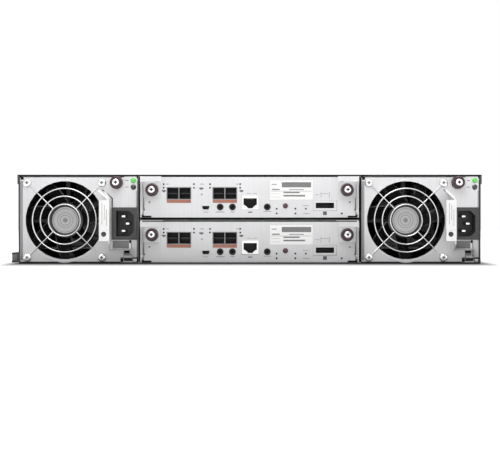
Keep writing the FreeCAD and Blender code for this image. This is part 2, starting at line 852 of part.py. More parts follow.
def make_fan_rotor():
    """Cup-shaped hub that runs on the shaft, with a ring of slanted blades."""
    hub = new_body("fan_hub")
    blade = new_body("fan_blade")
    hub_front = S.hub_inset
    hub_end = hub_front + S.hub_length
    cup_floor = hub_front + S.hub_wall
    boss_end = hub_end - S.hub_wall
    cup = S.hub_radius - S.hub_wall
    add(hub, "XZ", [flats_within(0, 0, S.hub_radius, HUB_SIDES)], hub_front, hub_end)
    remove(hub, "XZ", [flats_within(0, 0, cup, HUB_SIDES)], cup_floor, hub_end)
    bore = flats(0, 0, S.shaft_radius + S.pin_play)
    add(hub, "XZ", [flats_within(0, 0, S.shaft_radius * 2), bore], cup_floor, boss_end)
    # The blade is a flat vane set across its plane of rotation, long enough to clear the duct at its tip.
    middle = hub_front + S.hub_length / 2
    along_y, along_z = sine(S.blade_slant), cosine(S.blade_slant)
    half, thick = S.blade_chord / 2, S.blade_thick / 2
    corners = []
    for a, b in ((-1, -1), (1, -1), (1, 1), (-1, 1)):
        reach, rise = a * half, b * thick
        corners.append((middle + reach * along_y + rise * along_z, reach * along_z - rise * along_y))
    sweep = S.fan_bore - S.blade_play
    half_across = half * along_z + thick * along_y
    tip = sweep - half_across * half_across / sweep / 2
    add(blade, "YZ", [corners], S.hub_radius - S.hub_wall, tip)
    count = round(S.blade_count.value)
    blades = []
    for number in range(count):
        copy = group(f"fan_blade_{number}", [blade])
        spin = FreeCAD.Rotation(FreeCAD.Vector(0, 1, 0), 360 * number / count)
        copy.Placement = FreeCAD.Placement(FreeCAD.Vector(), spin)
        blades.append(copy)
    rotor = doc.addObject("Part::MultiFuse", "fan_rotor")
    rotor.Shapes = [hub, *blades]
    return rotor


def make_fan_guard():
    """Wire finger guard: three many-sided rings on four spokes that end in eyes under the fan's screws."""
    body = new_body("guard")
    wire = S.guard_wire
    spoke_back = -wire
    ring_back = -2 * wire
    arm = screw_reach - S.guard_eye / 2
    start = S.guard_ring_inner * sine(as_size(45))
    half = wire * sine(as_size(45))
    for a in (-1, 1):
        for b in (-1, 1):
            spoke = [
                (a * start - a * half, b * start), (a * start, b * (start - half)),
                (a * arm + a * half / 2, b * (arm - half / 2)), (a * arm - a * half / 2, b * (arm + half / 2)),
            ]
            add(body, "XZ", [spoke], spoke_back, 0)
            eye = flats_within(a * screw_reach, b * screw_reach, S.guard_eye, SMALL_SIDES)
            hole = flats(a * screw_reach, b * screw_reach, S.fan_screw_radius, SMALL_SIDES)
            add(body, "XZ", [eye, hole], spoke_back, 0)
    for radius in (S.guard_ring_outer, S.guard_ring_middle, S.guard_ring_inner):
        outer = flats_within(0, 0, radius + wire / 2, GUARD_SIDES)
        inner = flats_within(0, 0, radius - wire / 2, GUARD_SIDES)
        add(body, "XZ", [outer, inner], ring_back, spoke_back)
    return body


def make_fan_screw():
    """Pan-head screw through the guard's eye and the faceplate into the fan."""
    body = new_body("fan_screw")
    head_low = -S.guard_wire
    head_top = head_low - S.fan_screw_head_height
    add(body, "XZ", [flats_within(0, 0, S.fan_screw_head, SMALL_SIDES)], head_top, head_low)
    add(body, "XZ", [flats_within(0, 0, S.fan_screw_radius - S.fan_seat_play, SMALL_SIDES)], head_low,
        S.fan_screw_length)
    return body


def make_inlet():
    """Moulded mains inlet with a thin flange, two bevelled corners in its recess and three flat pins."""
    inlet_front = face_out - S.inlet_flange_sheet
    body = new_body("inlet_moulding")
    left = S.inlet_side - inlet_half
    right = S.inlet_side + inlet_half
    end = face_out + S.inlet_depth
    add(body, "XZ", [rectangle(left, right, inlet_low, inlet_high)], face_out, end)
    flange = S.inlet_width / 2
    add(body, "XZ", [rectangle(S.inlet_side - flange, S.inlet_side + flange, inlet_low - S.inlet_flange,
                               inlet_high + S.inlet_flange)], inlet_front, face_out)
    recess_left = S.socket_side - S.socket_width / 2
    recess_right = S.socket_side + S.socket_width / 2
    low = S.inlet_level - S.socket_height / 2
    high = S.inlet_level + S.socket_height / 2
    bevel = S.socket_chamfer
    outline = [
        (recess_left, low), (recess_right - bevel, low), (recess_right, low + bevel),
        (recess_right, high - bevel), (recess_right - bevel, high), (recess_left, high),
    ]
    floor = face_out + S.socket_recess
    remove(body, "XZ", [outline], inlet_front, floor)
    pins = []
    spots = ((S.blade_side, S.blade_pitch / 2), (S.blade_side, -S.blade_pitch / 2),
             (S.blade_side + S.blade_offset, as_size(0)))
    for number, (middle, rise) in enumerate(spots):
        level = S.inlet_level + rise
        pins.append(block(f"inlet_pin_{number}",
                          (middle - S.blade_width / 2, middle + S.blade_width / 2),
                          (face_out + S.blade_inset, floor),
                          (level - S.blade_height / 2, level + S.blade_height / 2)))
    return group("inlet", [body, *pins])


def make_lamps():
    """Two round lenses, one above the other, that stand a little out of the faceplate."""
    lenses = []
    for level in (S.lamp_upper_level, S.lamp_lower_level):
        body = new_body("lamp_lens")
        start = face_out - S.lamp_proud
        add(body, "XZ", [flats_within(0, 0, S.lamp_radius, SMALL_SIDES)], start, start + S.lamp_length)
        lenses.append(place(body, x=S.lamp_side, z=level))
    return group("lamps", lenses)


def make_release_lever():
    """Bent strip standing edge-on to the face: slanted tab, long web, foot and eye, with a wide strap."""
    body = new_body("release_lever")
    thick = S.strip_sheet
    web_left = S.strip_side - thick
    back = face_out - S.strip_gap
    tip = face_out - S.strip_reach
    side = S.foot_side
    outline = [
        (S.tab_side, S.tab_top), (web_left, S.strip_top), (web_left, S.foot_level),
        (side, S.foot_level), (side, S.psu_pivot_level), (side + thick, S.psu_pivot_level),
        (side + thick, S.foot_level + thick), (S.strip_side, S.foot_level + thick),
        (S.strip_side, S.strip_top + thick / 2), (S.tab_side + thick, S.tab_top + thick / 2),
    ]
    add(body, "XZ", [outline], tip, back)
    strap_left = web_left - S.strap_width
    add(body, "XZ", [rectangle(strap_left, S.strip_side, S.strap_low, S.strap_high)],
        tip - S.strap_sheet, tip)
    # The strip narrows to the tab above and to the foot below.
    beyond = S.strip_side + S.foot_side
    step = S.strap_sheet * 2
    remove(body, "YZ", [[
        (tip - step, S.strap_high), (face_out - S.tab_reach, S.strap_high + step),
        (face_out - S.tab_reach, S.tab_top + step), (tip - step, S.tab_top + step),
    ]], 0, beyond)
    lobe = S.psu_lobe
    remove(body, "YZ", [[
        (tip - step, S.strap_low), (tip - step, 0), (psu_pivot_y - lobe, 0),
        (psu_pivot_y - lobe, S.psu_pivot_level), (face_out - S.tab_reach, S.foot_level),
        (tip, S.strap_low - step),
        (tip, S.strap_low),
    ]], 0, beyond)
    eye_high = S.foot_level - S.psu_slot_play * 2
    add(body, "YZ", [[
        (psu_pivot_y, S.psu_pivot_level), (psu_pivot_y, eye_high), (back, eye_high),
        (back, S.psu_pivot_level),
    ]], side, side + thick)
    add(body, "YZ", [flats_within(psu_pivot_y, S.psu_pivot_level, lobe)], side - S.psu_cam_width,
        side + thick)
    remove(body, "YZ", [flats(psu_pivot_y, S.psu_pivot_level, S.pin_radius + S.pin_play)],
           side - S.psu_cam_width, side + thick)
    return body


def make_thumbscrew():
    """Captive screw: a stepped grip round a steel screw whose head stands at its outer end."""
    start = -S.screw_gap
    tip = start - S.grip_length
    step = start - S.grip_step
    top = tip - S.screw_head_height
    inner = S.screw_shank
    grip = new_body("screw_grip")
    bore = flats(0, 0, inner, SMALL_SIDES)
    add(grip, "XZ", [flats_within(0, 0, S.grip_radius), bore], step, start)
    add(grip, "XZ", [flats_within(0, 0, S.grip_tip_radius, SMALL_SIDES), bore], tip, step)
    screw = new_body("screw")
    add(screw, "XZ", [flats_within(0, 0, S.screw_head, SMALL_SIDES)], top, tip)
    add(screw, "XZ", [flats_within(0, 0, inner, SMALL_SIDES)], tip, S.latch_sheet)
    return group("thumbscrew", [grip, screw])


def make_power_modules(thumbscrew):
    """Both power modules are alike, one at each end of the chassis."""
    screw = make_fan_screw()
    screws = [place(group(f"fan_screw_{number}", [screw]), x=x, z=z)
              for number, (x, z) in enumerate(fan_screws)]
    guard = place(make_fan_guard(), x=fan_x, z=S.fan_level)
    pieces = {
        "psu_case": make_psu_case(),
        "fan_frame": place(make_fan_frame(), x=fan_x, y=fan_front, z=S.fan_level),
        "fan_rotor": place(make_fan_rotor(), x=fan_x, y=fan_front, z=S.fan_level),
        "fan_guard": group("guard_and_screws", [guard, *screws]),
        "ac_inlet": make_inlet(),
        "status_lamps": make_lamps(),
        "release_lever": make_release_lever(),
        "psu_thumbscrew": place(group("psu_screw", [thumbscrew]), x=S.psu_screw_side, y=face_out,
                                z=S.psu_screw_level),
    }
    place(pieces["fan_guard"], y=face_out)
    for side, middle in (("left", -psu_offset), ("right", psu_offset)):
        for name, piece in pieces.items():
            copy = group(f"{name}_copy", [piece])
            node(place(copy, x=middle, y=rear), f"{name}_{side}")


# Controller modules are drawn about the middle of the shelf, the module's underside and the rear plane.
controller_half = partition_side - S.partition_gap
spread = controller_half / S.layout_half_width
host_ports = [((S.host_middle + a * S.host_side) * spread, S.host_low) for a in (-1, 1)]
jacks = [S.jack_first * spread, S.jack_second * spread, S.jack_third * spread]
network_x = S.network_side * spread
expander_x = S.expander_side * spread
serial_x = S.serial_side * spread
button_x = S.button_side * spread
latch_side = controller_half - S.latch_inset
screw_side = controller_half - S.screw_inset
latch_pivot_y = face_out + S.latch_pivot_inset
latch_far = latch_side + S.latch_sheet
board_low = S.board_gap
board_high = board_low + S.board_sheet
port_start = face_out + S.port_play
port_end = port_start + S.port_depth
recess_end = port_start + S.port_recess


def grown(left, right, low, high, play):
    return rectangle(left - play, right + play, low - play, high + play)


def make_controller_case():
    """Sheet case with the faceplate that the ports, lights, button and latches come through."""
    body = new_body("controller_case")
    wall = S.module_sheet
    half = controller_half
    high = S.controller_height
    add(body, "XZ", [rectangle(-half, half, 0, high),
                     rectangle(wall - half, half - wall, wall, high - wall)], face_in, module_end - wall)
    play = S.port_play
    host_half = S.host_width / 2 + S.host_wall
    network_half = S.network_width / 2
    expander_half = S.expander_width / 2
    serial_half = S.serial_width / 2
    holes = [
        *[grown(x - host_half, x + host_half, z - S.host_wall, z + S.host_height + S.host_wall, play)
          for x, z in host_ports],
        grown(network_x - network_half, network_x + network_half, S.network_low,
              S.network_low + S.network_height, play),
        grown(expander_x - expander_half, expander_x + expander_half, S.expander_low,
              S.expander_low + S.expander_height, play),
        grown(serial_x - serial_half, serial_x + serial_half, S.serial_low,
              S.serial_low + S.serial_height, play),
        *[flats(x, S.jack_level, S.jack_radius + play) for x in jacks],
        flats(button_x, S.button_level, S.button_radius + S.button_play, SMALL_SIDES),
        *[flats(side * screw_side, S.screw_level, S.screw_shank, SMALL_SIDES) for side in (-1, 1)],
    ]
    add(body, "XZ", [rectangle(-half, half, 0, high), *holes], face_out, face_in)
    slot_near = latch_side - S.latch_slot_play
    slot_far = latch_far + S.latch_slot_play
    for side in (-1, 1):
        ends = (slot_near, slot_far) if side > 0 else (-slot_far, -slot_near)
        remove(body, "XZ", [rectangle(*ends, wall, S.latch_slot_top)], face_out, face_in)
        pin_ends = (latch_side - wall, half) if side > 0 else (-half, wall - latch_side)
        add(body, "YZ", [flats_within(latch_pivot_y, S.latch_pivot_level, S.pin_radius)], *pin_ends)
    end_half = S.controller_socket_width / 2
    add(body, "XZ", [rectangle(-half, half, 0, high),
                     rectangle(-end_half, end_half, board_high, board_high + S.controller_socket_height)],
        module_end - wall, module_end)
    return body


def make_host_port(x, z):
    """Metal cage with two side-by-side openings, each with a contact tongue set back inside."""
    body = new_body("host_port")
    half = S.host_width / 2
    wall = S.host_wall
    rib = S.host_divider / 2
    outside = rectangle(x - half - wall, x + half + wall, z - wall, z + S.host_height + wall)
    openings = [rectangle(x - half, x - rib, z, z + S.host_height),
                rectangle(x + rib, x + half, z, z + S.host_height)]
    middle = z + S.host_height / 2
    tongue = S.port_tongue / 2
    add(body, "XZ", [outside, *openings], port_start, recess_end)
    add(body, "XZ", [outside], recess_end, port_end)
    add(body, "XZ", [rectangle(x - half, x + half, middle - tongue, middle + tongue)],
        port_start + S.port_tongue_inset, recess_end)
    return body


def make_network_port():
    """Shielded network jack with a stepped opening that takes the plug's tab at its lower side."""
    body = new_body("network_port")
    x = network_x
    half = S.network_width / 2
    low = S.network_low
    high = low + S.network_height
    wall = S.network_wall
    opening = S.network_opening / 2
    tab = S.network_tab_width / 2
    step = low + S.network_step
    outline = [
        (x - tab, low + wall / 2), (x + tab, low + wall / 2), (x + tab, step), (x + opening, step),
        (x + opening, high - wall), (x - opening, high - wall), (x - opening, step), (x - tab, step),
    ]
    add(body, "XZ", [rectangle(x - half, x + half, low, high), outline], port_start, recess_end)
    add(body, "XZ", [rectangle(x - half, x + half, low, high)], recess_end, port_end)
    return body


def make_expander_port():
    """Wide shell round one flat opening, with its tongue set back inside."""
    body = new_body("expander_port")
    x = expander_x
    half = S.expander_width / 2
    opening = S.expander_opening_width / 2
    rise = S.expander_opening_height / 2
    middle = S.expander_low + S.expander_height / 2
    tongue = S.port_tongue / 2
    outside = rectangle(x - half, x + half, S.expander_low, S.expander_low + S.expander_height)
    add(body, "XZ", [outside, rectangle(x - opening, x + opening, middle - rise, middle + rise)],
        port_start, recess_end)
    add(body, "XZ", [outside], recess_end, port_end)
    add(body, "XZ", [rectangle(x - opening, x + opening, middle - tongue, middle + tongue)],
        port_start + S.port_tongue_inset, recess_end)
    return body


def make_serial_port():
    """Small shell with a mouth that narrows towards its lower side."""
    body = new_body("serial_port")
    x = serial_x
    half = S.serial_width / 2
    low = S.serial_low
    high = low + S.serial_height
    wall = S.serial_wall
    mouth = [(x - half / 1.5, low + wall), (x + half / 1.5, low + wall), (x + half - wall, high - wall * 2),
             (x + half - wall, high - wall), (x - half + wall, high - wall), (x - half + wall, high - wall * 2)]
    add(body, "XZ", [rectangle(x - half, x + half, low, high), mouth], port_start, port_start + S.port_depth / 3)
    add(body, "XZ", [rectangle(x - half, x + half, low, high)], port_start + S.port_depth / 3,
        port_start + S.port_depth / 2)
    return body


def make_jack(x):
    """Round service jack: a tube that is closed at its inner end."""
    body = new_body("service_jack")
    end = port_start + S.port_depth / 2
    floor = end - S.jack_bore
    outside = flats_within(0, 0, S.jack_radius)
    add(body, "XZ", [outside, flats(0, 0, S.jack_bore, SMALL_SIDES)], face_out, floor)
    add(body, "XZ", [outside], floor, end)
    return place(body, x=x, z=S.jack_level)


def make_controller_ports():
    """Board with all that is soldered to it: port cages, jacks and the light pipes of the face."""
    inside = controller_half - S.module_sheet - S.board_margin
    board_start = face_in + S.board_margin
    board_end = module_end - S.module_sheet - S.board_margin
    notch = latch_side - S.board_margin
    board = new_body("controller_plate")
    outline = [
        (-notch, board_start), (notch, board_start), (notch, board_start + S.port_depth),
        (inside, board_start + S.port_depth), (inside, board_end), (-inside, board_end),
        (-inside, board_start + S.port_depth), (-notch, board_start + S.port_depth),
    ]
    add(board, "XY", [outline], board_low, board_high)
    return group("ports_and_board", [
        board, *[make_host_port(x, z) for x, z in host_ports], make_network_port(), make_expander_port(),
        make_serial_port(), *[make_jack(x) for x in jacks],
    ])


def make_latch():
    """Right-hand latch: an upright web through the face's slot, a finger tab and the screw's plate."""
    body = new_body("latch")
    near = latch_side
    back = face_out - S.latch_gap
    tip = face_out - S.latch_reach
    top = S.latch_top
    tab_low = top - S.tab_height
    sheet_in = latch_pivot_y + S.latch_inner_reach - S.latch_lobe
    pass_high = S.latch_slot_top - S.latch_gap * 2
    web = [
        (back, top), (tip, top), (tip, tab_low), (latch_pivot_y - S.latch_lobe, S.latch_pivot_level),
        (latch_pivot_y, S.latch_pivot_level), (sheet_in, S.latch_pivot_level),
        (sheet_in, pass_high - S.latch_lobe), (latch_pivot_y, pass_high), (back, pass_high),
    ]
    add(body, "YZ", [web], near, latch_far)
    add(body, "YZ", [flats_within(latch_pivot_y, S.latch_pivot_level, S.latch_lobe)], near, latch_far)
    remove(body, "YZ", [flats(latch_pivot_y, S.latch_pivot_level, S.pin_radius + S.pin_play)],
           near, latch_far)
    add(body, "XZ", [rectangle(latch_far - S.tab_width - S.latch_sheet, latch_far, tab_low, top)],
        tip, tip + S.latch_sheet)
    plate_left = screw_side - S.plate_width / 2
    plate = rectangle(plate_left, near, S.plate_low, S.plate_high)
    hole = flats(screw_side, S.screw_level, S.screw_shank + S.screw_play)
    add(body, "XZ", [plate, hole], back - S.latch_sheet, back)
    return body


def make_button():
    """Round push button with a flange that keeps it behind the faceplate."""
    body = new_body("button")
    start = face_out - S.button_proud
    flange = face_in + S.screw_gap
    end = flange + S.latch_sheet
    add(body, "XZ", [flats_within(0, 0, S.button_radius, SMALL_SIDES)], start, start + S.button_length)
    add(body, "XZ", [flats_within(0, 0, S.button_flange, SMALL_SIDES)], flange, end)
    return body


def make_controllers(thumbscrew):
    """Both controllers are alike, one above and one below the shelf."""
    latch = make_latch()
    screw_y = face_out - S.latch_gap - S.latch_sheet
    screw_right = place(group("latch_screw_right", [thumbscrew]), x=screw_side, y=screw_y,
                        z=S.screw_level)
    screw_left = place(group("latch_screw_left", [thumbscrew]), x=-screw_side, y=screw_y,
                       z=S.screw_level)
    pieces = {
        "controller_case": make_controller_case(),
        "controller_ports": make_controller_ports(),
        "latch_right": latch,
        "latch_left": mirrored("latch_mirrored", latch),
        "thumbscrew_right": screw_right,
        "thumbscrew_left": screw_left,
        "id_button": place(make_button(), x=button_x, z=S.button_level),
    }
    for level_name, level in (("lower", S.controller_low), ("upper", S.controller_low + S.controller_pitch)):
        for name, piece in pieces.items():
            copy = group(f"{name}_copy", [piece])
            node(place(copy, y=rear, z=level), f"{name}_{level_name}")


node(make_tray(), "chassis_tray")
node(make_cover(), "top_cover")
node(make_partitions(), "bay_partitions")
node(make_cage(), "drive_cage")
node(make_midplane(), "midplane_board")
node(make_ears(), "rack_ears")
make_carriers()
shared_thumbscrew = make_thumbscrew()
make_power_modules(shared_thumbscrew)
make_controllers(shared_thumbscrew)
doc.recompute()

for thing in doc.Objects:
    if "Invalid" in thing.State or "Error" in thing.State:
        raise RuntimeError(f"{thing.Label} ({thing.TypeId}) failed: {thing.State}")

os.makedirs("parts", exist_ok=True)
for thing in nodes:
    shape = thing.Shape
    if shape.isNull() or not shape.isValid():
        raise RuntimeError(f"{thing.Label} has no valid shape")
    shape.exportStep(f"parts/{thing.Label}.step")
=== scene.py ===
from itertools import pairwise
from math import cos, pi, radians, sin

import bpy
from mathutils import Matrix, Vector


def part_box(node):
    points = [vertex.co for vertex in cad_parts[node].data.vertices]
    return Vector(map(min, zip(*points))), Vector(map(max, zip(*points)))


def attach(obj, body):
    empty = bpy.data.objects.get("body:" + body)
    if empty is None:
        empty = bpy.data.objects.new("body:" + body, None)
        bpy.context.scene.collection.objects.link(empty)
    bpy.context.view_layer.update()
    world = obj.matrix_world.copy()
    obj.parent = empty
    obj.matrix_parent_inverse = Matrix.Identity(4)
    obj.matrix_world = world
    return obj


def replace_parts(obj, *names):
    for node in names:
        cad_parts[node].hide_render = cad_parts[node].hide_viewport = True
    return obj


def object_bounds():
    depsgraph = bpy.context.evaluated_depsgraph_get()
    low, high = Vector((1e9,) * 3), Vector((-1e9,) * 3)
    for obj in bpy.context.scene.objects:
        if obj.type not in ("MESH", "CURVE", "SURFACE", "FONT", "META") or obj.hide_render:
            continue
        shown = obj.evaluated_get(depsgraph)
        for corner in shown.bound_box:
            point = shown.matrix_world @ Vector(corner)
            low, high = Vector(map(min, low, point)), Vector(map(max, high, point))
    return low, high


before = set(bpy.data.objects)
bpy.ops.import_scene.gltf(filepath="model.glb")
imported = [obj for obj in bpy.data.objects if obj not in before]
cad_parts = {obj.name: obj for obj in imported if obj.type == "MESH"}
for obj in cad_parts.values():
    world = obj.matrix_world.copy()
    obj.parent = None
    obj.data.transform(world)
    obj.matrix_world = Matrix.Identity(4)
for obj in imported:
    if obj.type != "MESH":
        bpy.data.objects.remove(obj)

bl_info = {
    "name": "Disk shelf enclosure",
    "version": (1, 0, 0),
    "blender": (4, 5, 0),
    "location": "3D View > Sidebar > Shelf",
    "description": "Gives the packed disk shelf its finishes, guards, screws, ports, lamps and labels",
    "category": "Object",
}

MM = 0.001
OUT = Vector((0, -1, 0))
SIDES = ("left", "right")
LEVELS = ("lower", "upper")
CARRIERS = [f"{number:02d}" for number in range(1, 13)]
CAD_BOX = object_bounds()
REAR, MODULE_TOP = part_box("psu_case_left")[0].y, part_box("psu_case_left")[1].z / MM
BLACK, WHITE = (0, 0, 0, 1), (1, 1, 1, 1)
# Middles of the two pairs of host ports, in millimetres across a controller.
PORT_PAIRS = (-67.7, -23.7)


def box_middle(node):
    """Centre of a node's box."""
    low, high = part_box(node)
    return (low + high) / 2


def rear_middle(node):
    """Middle of the rear side of a node's box."""
    middle = box_middle(node)
    return Vector((middle.x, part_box(node)[0].y, middle.z))


class Face:
    """A flat face of the shelf; places on it are in millimetres from its origin."""

    def __init__(self, x, y, z, out=-1):
        self.origin = Vector((x, y, z))
        self.out = out

    def at(self, x, z, reach=0.0):
        """The place x across and z up, and reach out of the face."""
        return self.origin + Vector((x, self.out * reach, z)) * MM

    def outline(self, corners, reach=0.0):
        """Corners across and up the face, at one reach."""
        return [self.at(x, z, reach) for x, z in corners]


def modules():
    """Side, outer face (from its middle and the base) and body of each power module."""
    for side in SIDES:
        yield side, Face(box_middle(f"psu_case_{side}").x, REAR, 0), f"power_module_{side}"


def controllers():
    """Level, outer face (from its lower edge) and body of each controller."""
    for level in LEVELS:
        low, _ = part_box(f"controller_case_{level}")
        yield level, Face(0, low.y, low.z), f"controller_{level}"


def fan_face(side):
    """Outer face of a power module, from its fan's axis."""
    fan = box_middle(f"fan_frame_{side}")
    return Face(fan.x, REAR, fan.z)


# ---- modelling


def leave_edit():
    """Back to object mode with nothing selected."""
    if bpy.context.mode != "OBJECT":
        bpy.ops.object.mode_set(mode="OBJECT")
    bpy.ops.object.select_all(action="DESELECT")


def only(*pieces):
    """Selects these pieces alone, the last of them active."""
    leave_edit()
    for piece in pieces:
        piece.select_set(True)
    bpy.context.view_layer.objects.active = pieces[-1]


def draw_line(points):
    """Draws a chain of edges in a new mesh, by extruding one point."""
    leave_edit()
    bpy.ops.mesh.primitive_plane_add(size=MM, location=points[0])
    bpy.ops.object.transform_apply(location=True, rotation=False, scale=False)
    bpy.ops.object.mode_set(mode="EDIT")
    bpy.ops.mesh.select_all(action="SELECT")
    bpy.ops.mesh.merge(type="CENTER")
    for start, end in pairwise(points):
        bpy.ops.mesh.extrude_region_move(TRANSFORM_OT_translate={"value": end - start})
    bpy.ops.mesh.select_all(action="SELECT")


def close_mesh():
    """Merges the seam, turns the faces outwards and leaves edit mode."""
    bpy.ops.mesh.select_all(action="SELECT")
    bpy.ops.mesh.remove_doubles(threshold=MM / 500)
    bpy.ops.mesh.normals_make_consistent(inside=False)
    leave_edit()
    return bpy.context.object


def turned(profile, centre, axis=OUT, steps=48):
    """Spins a half profile of (radius, reach) pairs in millimetres once round an axis."""
    across = axis.orthogonal().normalized()
    draw_line([centre + (across * radius + axis * reach) * MM for radius, reach in profile])
    bpy.ops.mesh.spin(steps=steps, angle=2 * pi, center=centre, axis=axis)
    return close_mesh()


def prism(outline, depth, corner=0.0, taper=1.0):
    """Fills an outline, rounds its corners and pulls it out by a depth, tapered."""
    draw_line(outline)
    bpy.ops.mesh.edge_face_add()
    if corner:
        bpy.ops.mesh.bevel(offset=corner * MM, segments=4, affect="VERTICES")
        bpy.ops.mesh.select_all(action="SELECT")
    bpy.ops.mesh.extrude_region_move(TRANSFORM_OT_translate={"value": depth})
    if taper != 1.0:
        middle = sum(outline, Vector()) / len(outline) + depth
        bpy.ops.transform.resize(value=(taper,) * 3, center_override=middle)
    return close_mesh()


def rectangle(left, right, low, high):
    """Corners of a rectangle across and up a face."""
    return [(left, low), (right, low), (right, high), (left, high)]


def plate(face, corners, back, front, corner=0, taper=1):
    """A flat piece on a face, from one reach to another."""
    depth = Vector((0, face.out * (front - back), 0)) * MM
    return prism(face.outline(corners, back), depth, corner, taper)


def wire(points, radius):
    """Round wire along a line of points."""
    draw_line(points)
    line = bpy.context.object
    only(line)
    bpy.ops.object.convert(target="CURVE")
    line.data.bevel_depth = radius * MM
    line.data.bevel_resolution = 2
    line.data.use_fill_caps = True
    bpy.ops.object.convert(target="MESH")
    return bpy.context.object


def circle(radius, count, start=0):
    """Corners round a circle from a starting angle, the first one again at the end."""
    turns = [start + 2 * pi * number / count for number in range(count + 1)]
    return [(radius * cos(turn), radius * sin(turn)) for turn in turns]


def ring(radius, thickness, centre):
    """Closed ring of round wire."""
    section = [(radius + across, reach) for across, reach in circle(thickness / 2, 12)]
    return turned(section, centre, OUT, 96)


def copied(source, shift):
    """Another of the same piece, with its own mesh, moved by a shift."""
    only(source)
    bpy.ops.object.duplicate()
    bpy.ops.transform.translate(value=shift)
    bpy.ops.object.transform_apply()
    return bpy.context.object


def joined(pieces):
    """One object of several."""
    only(*pieces)
    if len(pieces) > 1:
        bpy.ops.object.join()
    return bpy.context.object


def applied(piece, kind, **settings):
    """Adds a modifier, sets it and applies it."""
    only(piece)
    modifier = piece.modifiers.new(kind.title(), kind)
    for name, value in settings.items():
        setattr(modifier, name, value)
    bpy.ops.object.modifier_apply(modifier=modifier.name)
    return piece


def softened(piece, width):
    """Rounds the sharp edges of a piece."""
    return applied(piece, "BEVEL", width=width * MM, segments=2, limit_method="ANGLE",
                   angle_limit=radians(40))


def cut_from(piece, cutter):
    """Takes the cutter's shape out of a piece."""
    applied(piece, "BOOLEAN", operation="DIFFERENCE", object=cutter, solver="EXACT")
    bpy.data.objects.remove(cutter)
    return piece


def dressed(piece, name, finish, body, smooth=35):
    """Names a finished piece, gives it its finish and makes it ride on its body."""
    only(piece)
    bpy.ops.object.shade_smooth_by_angle(angle=radians(smooth))
    piece.name = piece.data.name = name
    piece.data.materials.clear()
    piece.data.materials.append(bpy.data.materials[finish])
    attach(piece, body)
    return piece


def plates(face, boxes, back, front, soft=0):
    """One piece of boxes (left, right, low, high), any with a corner radius at its end."""
    piece = joined([plate(face, rectangle(*box[:4]), back, front, *box[4:]) for box in boxes])
    return softened(piece, soft) if soft else piece


def dress_plates(face, body, suffix, rows):
    """Dresses a piece for each row of name, finish, back, front, softening and boxes."""
    for name, finish, back, front, soft, *boxes in rows:
        dressed(plates(face, boxes, back, front, soft), name + suffix, finish, body)


def rim_plate(face, outer, hole, front, soft, corner=0):
    """A flat rim on a face: a box with a corner radius, less an outline, its edges softened."""
    rim = plate(face, rectangle(*outer[:4]), 0, front, outer[4])
    return softened(cut_from(rim, plate(face, hole, -1, 1.5, corner)), soft)


def mirrored(left, right, *rest):
    """A box and its mirror image across the middle of a face."""
    return [(-right, -left, *rest), (left, right, *rest)]


def socket_shade(face, x, z, reach, radius):
    """Painted shade: a black disc at the bottom of a driver's recess."""
    return turned([(0, reach + 0.05), (radius, reach + 0.02), (radius, reach - 0.3), (0, reach - 0.3)],
                  face.at(x, z), OUT * -face.out, 20)


def screw_head(face, x, z, back, radius, height):
    """Pan-head screw with a crossed recess, standing on a face."""
    front = back + height
    head = turned([(0, front), (radius * 0.55, front - 0.03 * height), (radius * 0.84, front - height * 0.22),
                   (radius * 0.97, front - height * 0.55), (radius, back + 0.1), (radius * 0.96, back),
                   (0, back)], face.at(x, z), OUT * -face.out, 32)
    arm, half = radius * 0.44, radius * 0.17
    quarter = [(arm, -half), (arm, half), (half, half)]
    cross = []
    for _ in range(4):
        cross += quarter
        quarter = [(-b, a) for a, b in quarter]
    cross = [(x + a, z + b) for a, b in cross]
    return cut_from(head, plate(face, cross, front - height * 0.6, front + height))


# ---- finishes


def plug(entry, item):
    """Links a value to a node's input, or sets the input when the item is plain."""
    if isinstance(item, Value):
        item.tree.links.new(item.socket, entry)
    else:
        entry.default_value = item


def add_node(tree, kind, inputs, output=0, **settings):
    """Adds a node with its inputs and settings, and gives one output."""
    node = tree.nodes.new(kind)
    for name, value in settings.items():
        setattr(node, name, value)
    for entry, item in dict(inputs).items():
        plug(node.inputs[entry], item)
    return Value(tree, node.outputs[output])


class Value:
    """A shader socket that takes part in Python arithmetic."""

    def __init__(self, tree, socket):
        self.tree = tree
        self.socket = socket

    def math(self, operation, *others):
        """A Math node on this value and others."""
        return add_node(self.tree, "ShaderNodeMath", enumerate((self, *others)), operation=operation)

    def __add__(self, other):
        return self.math("ADD", other)

    def __sub__(self, other):
        return self.math("SUBTRACT", other)

    def __mul__(self, other):
        return self.math("MULTIPLY", other)

    def __truediv__(self, other):
        return self.math("DIVIDE", other)

    def within(self, *ranges):
        """One where the value lies inside one of several ranges, else nothing."""
        first, *rest = [self.math("GREATER_THAN", low) * self.math("LESS_THAN", high) for low, high in ranges]
        return sum(rest, first)

    def clamped(self):
        """The value kept from 0 to 1."""
        return self.math("MAXIMUM", 0).math("MINIMUM", 1)


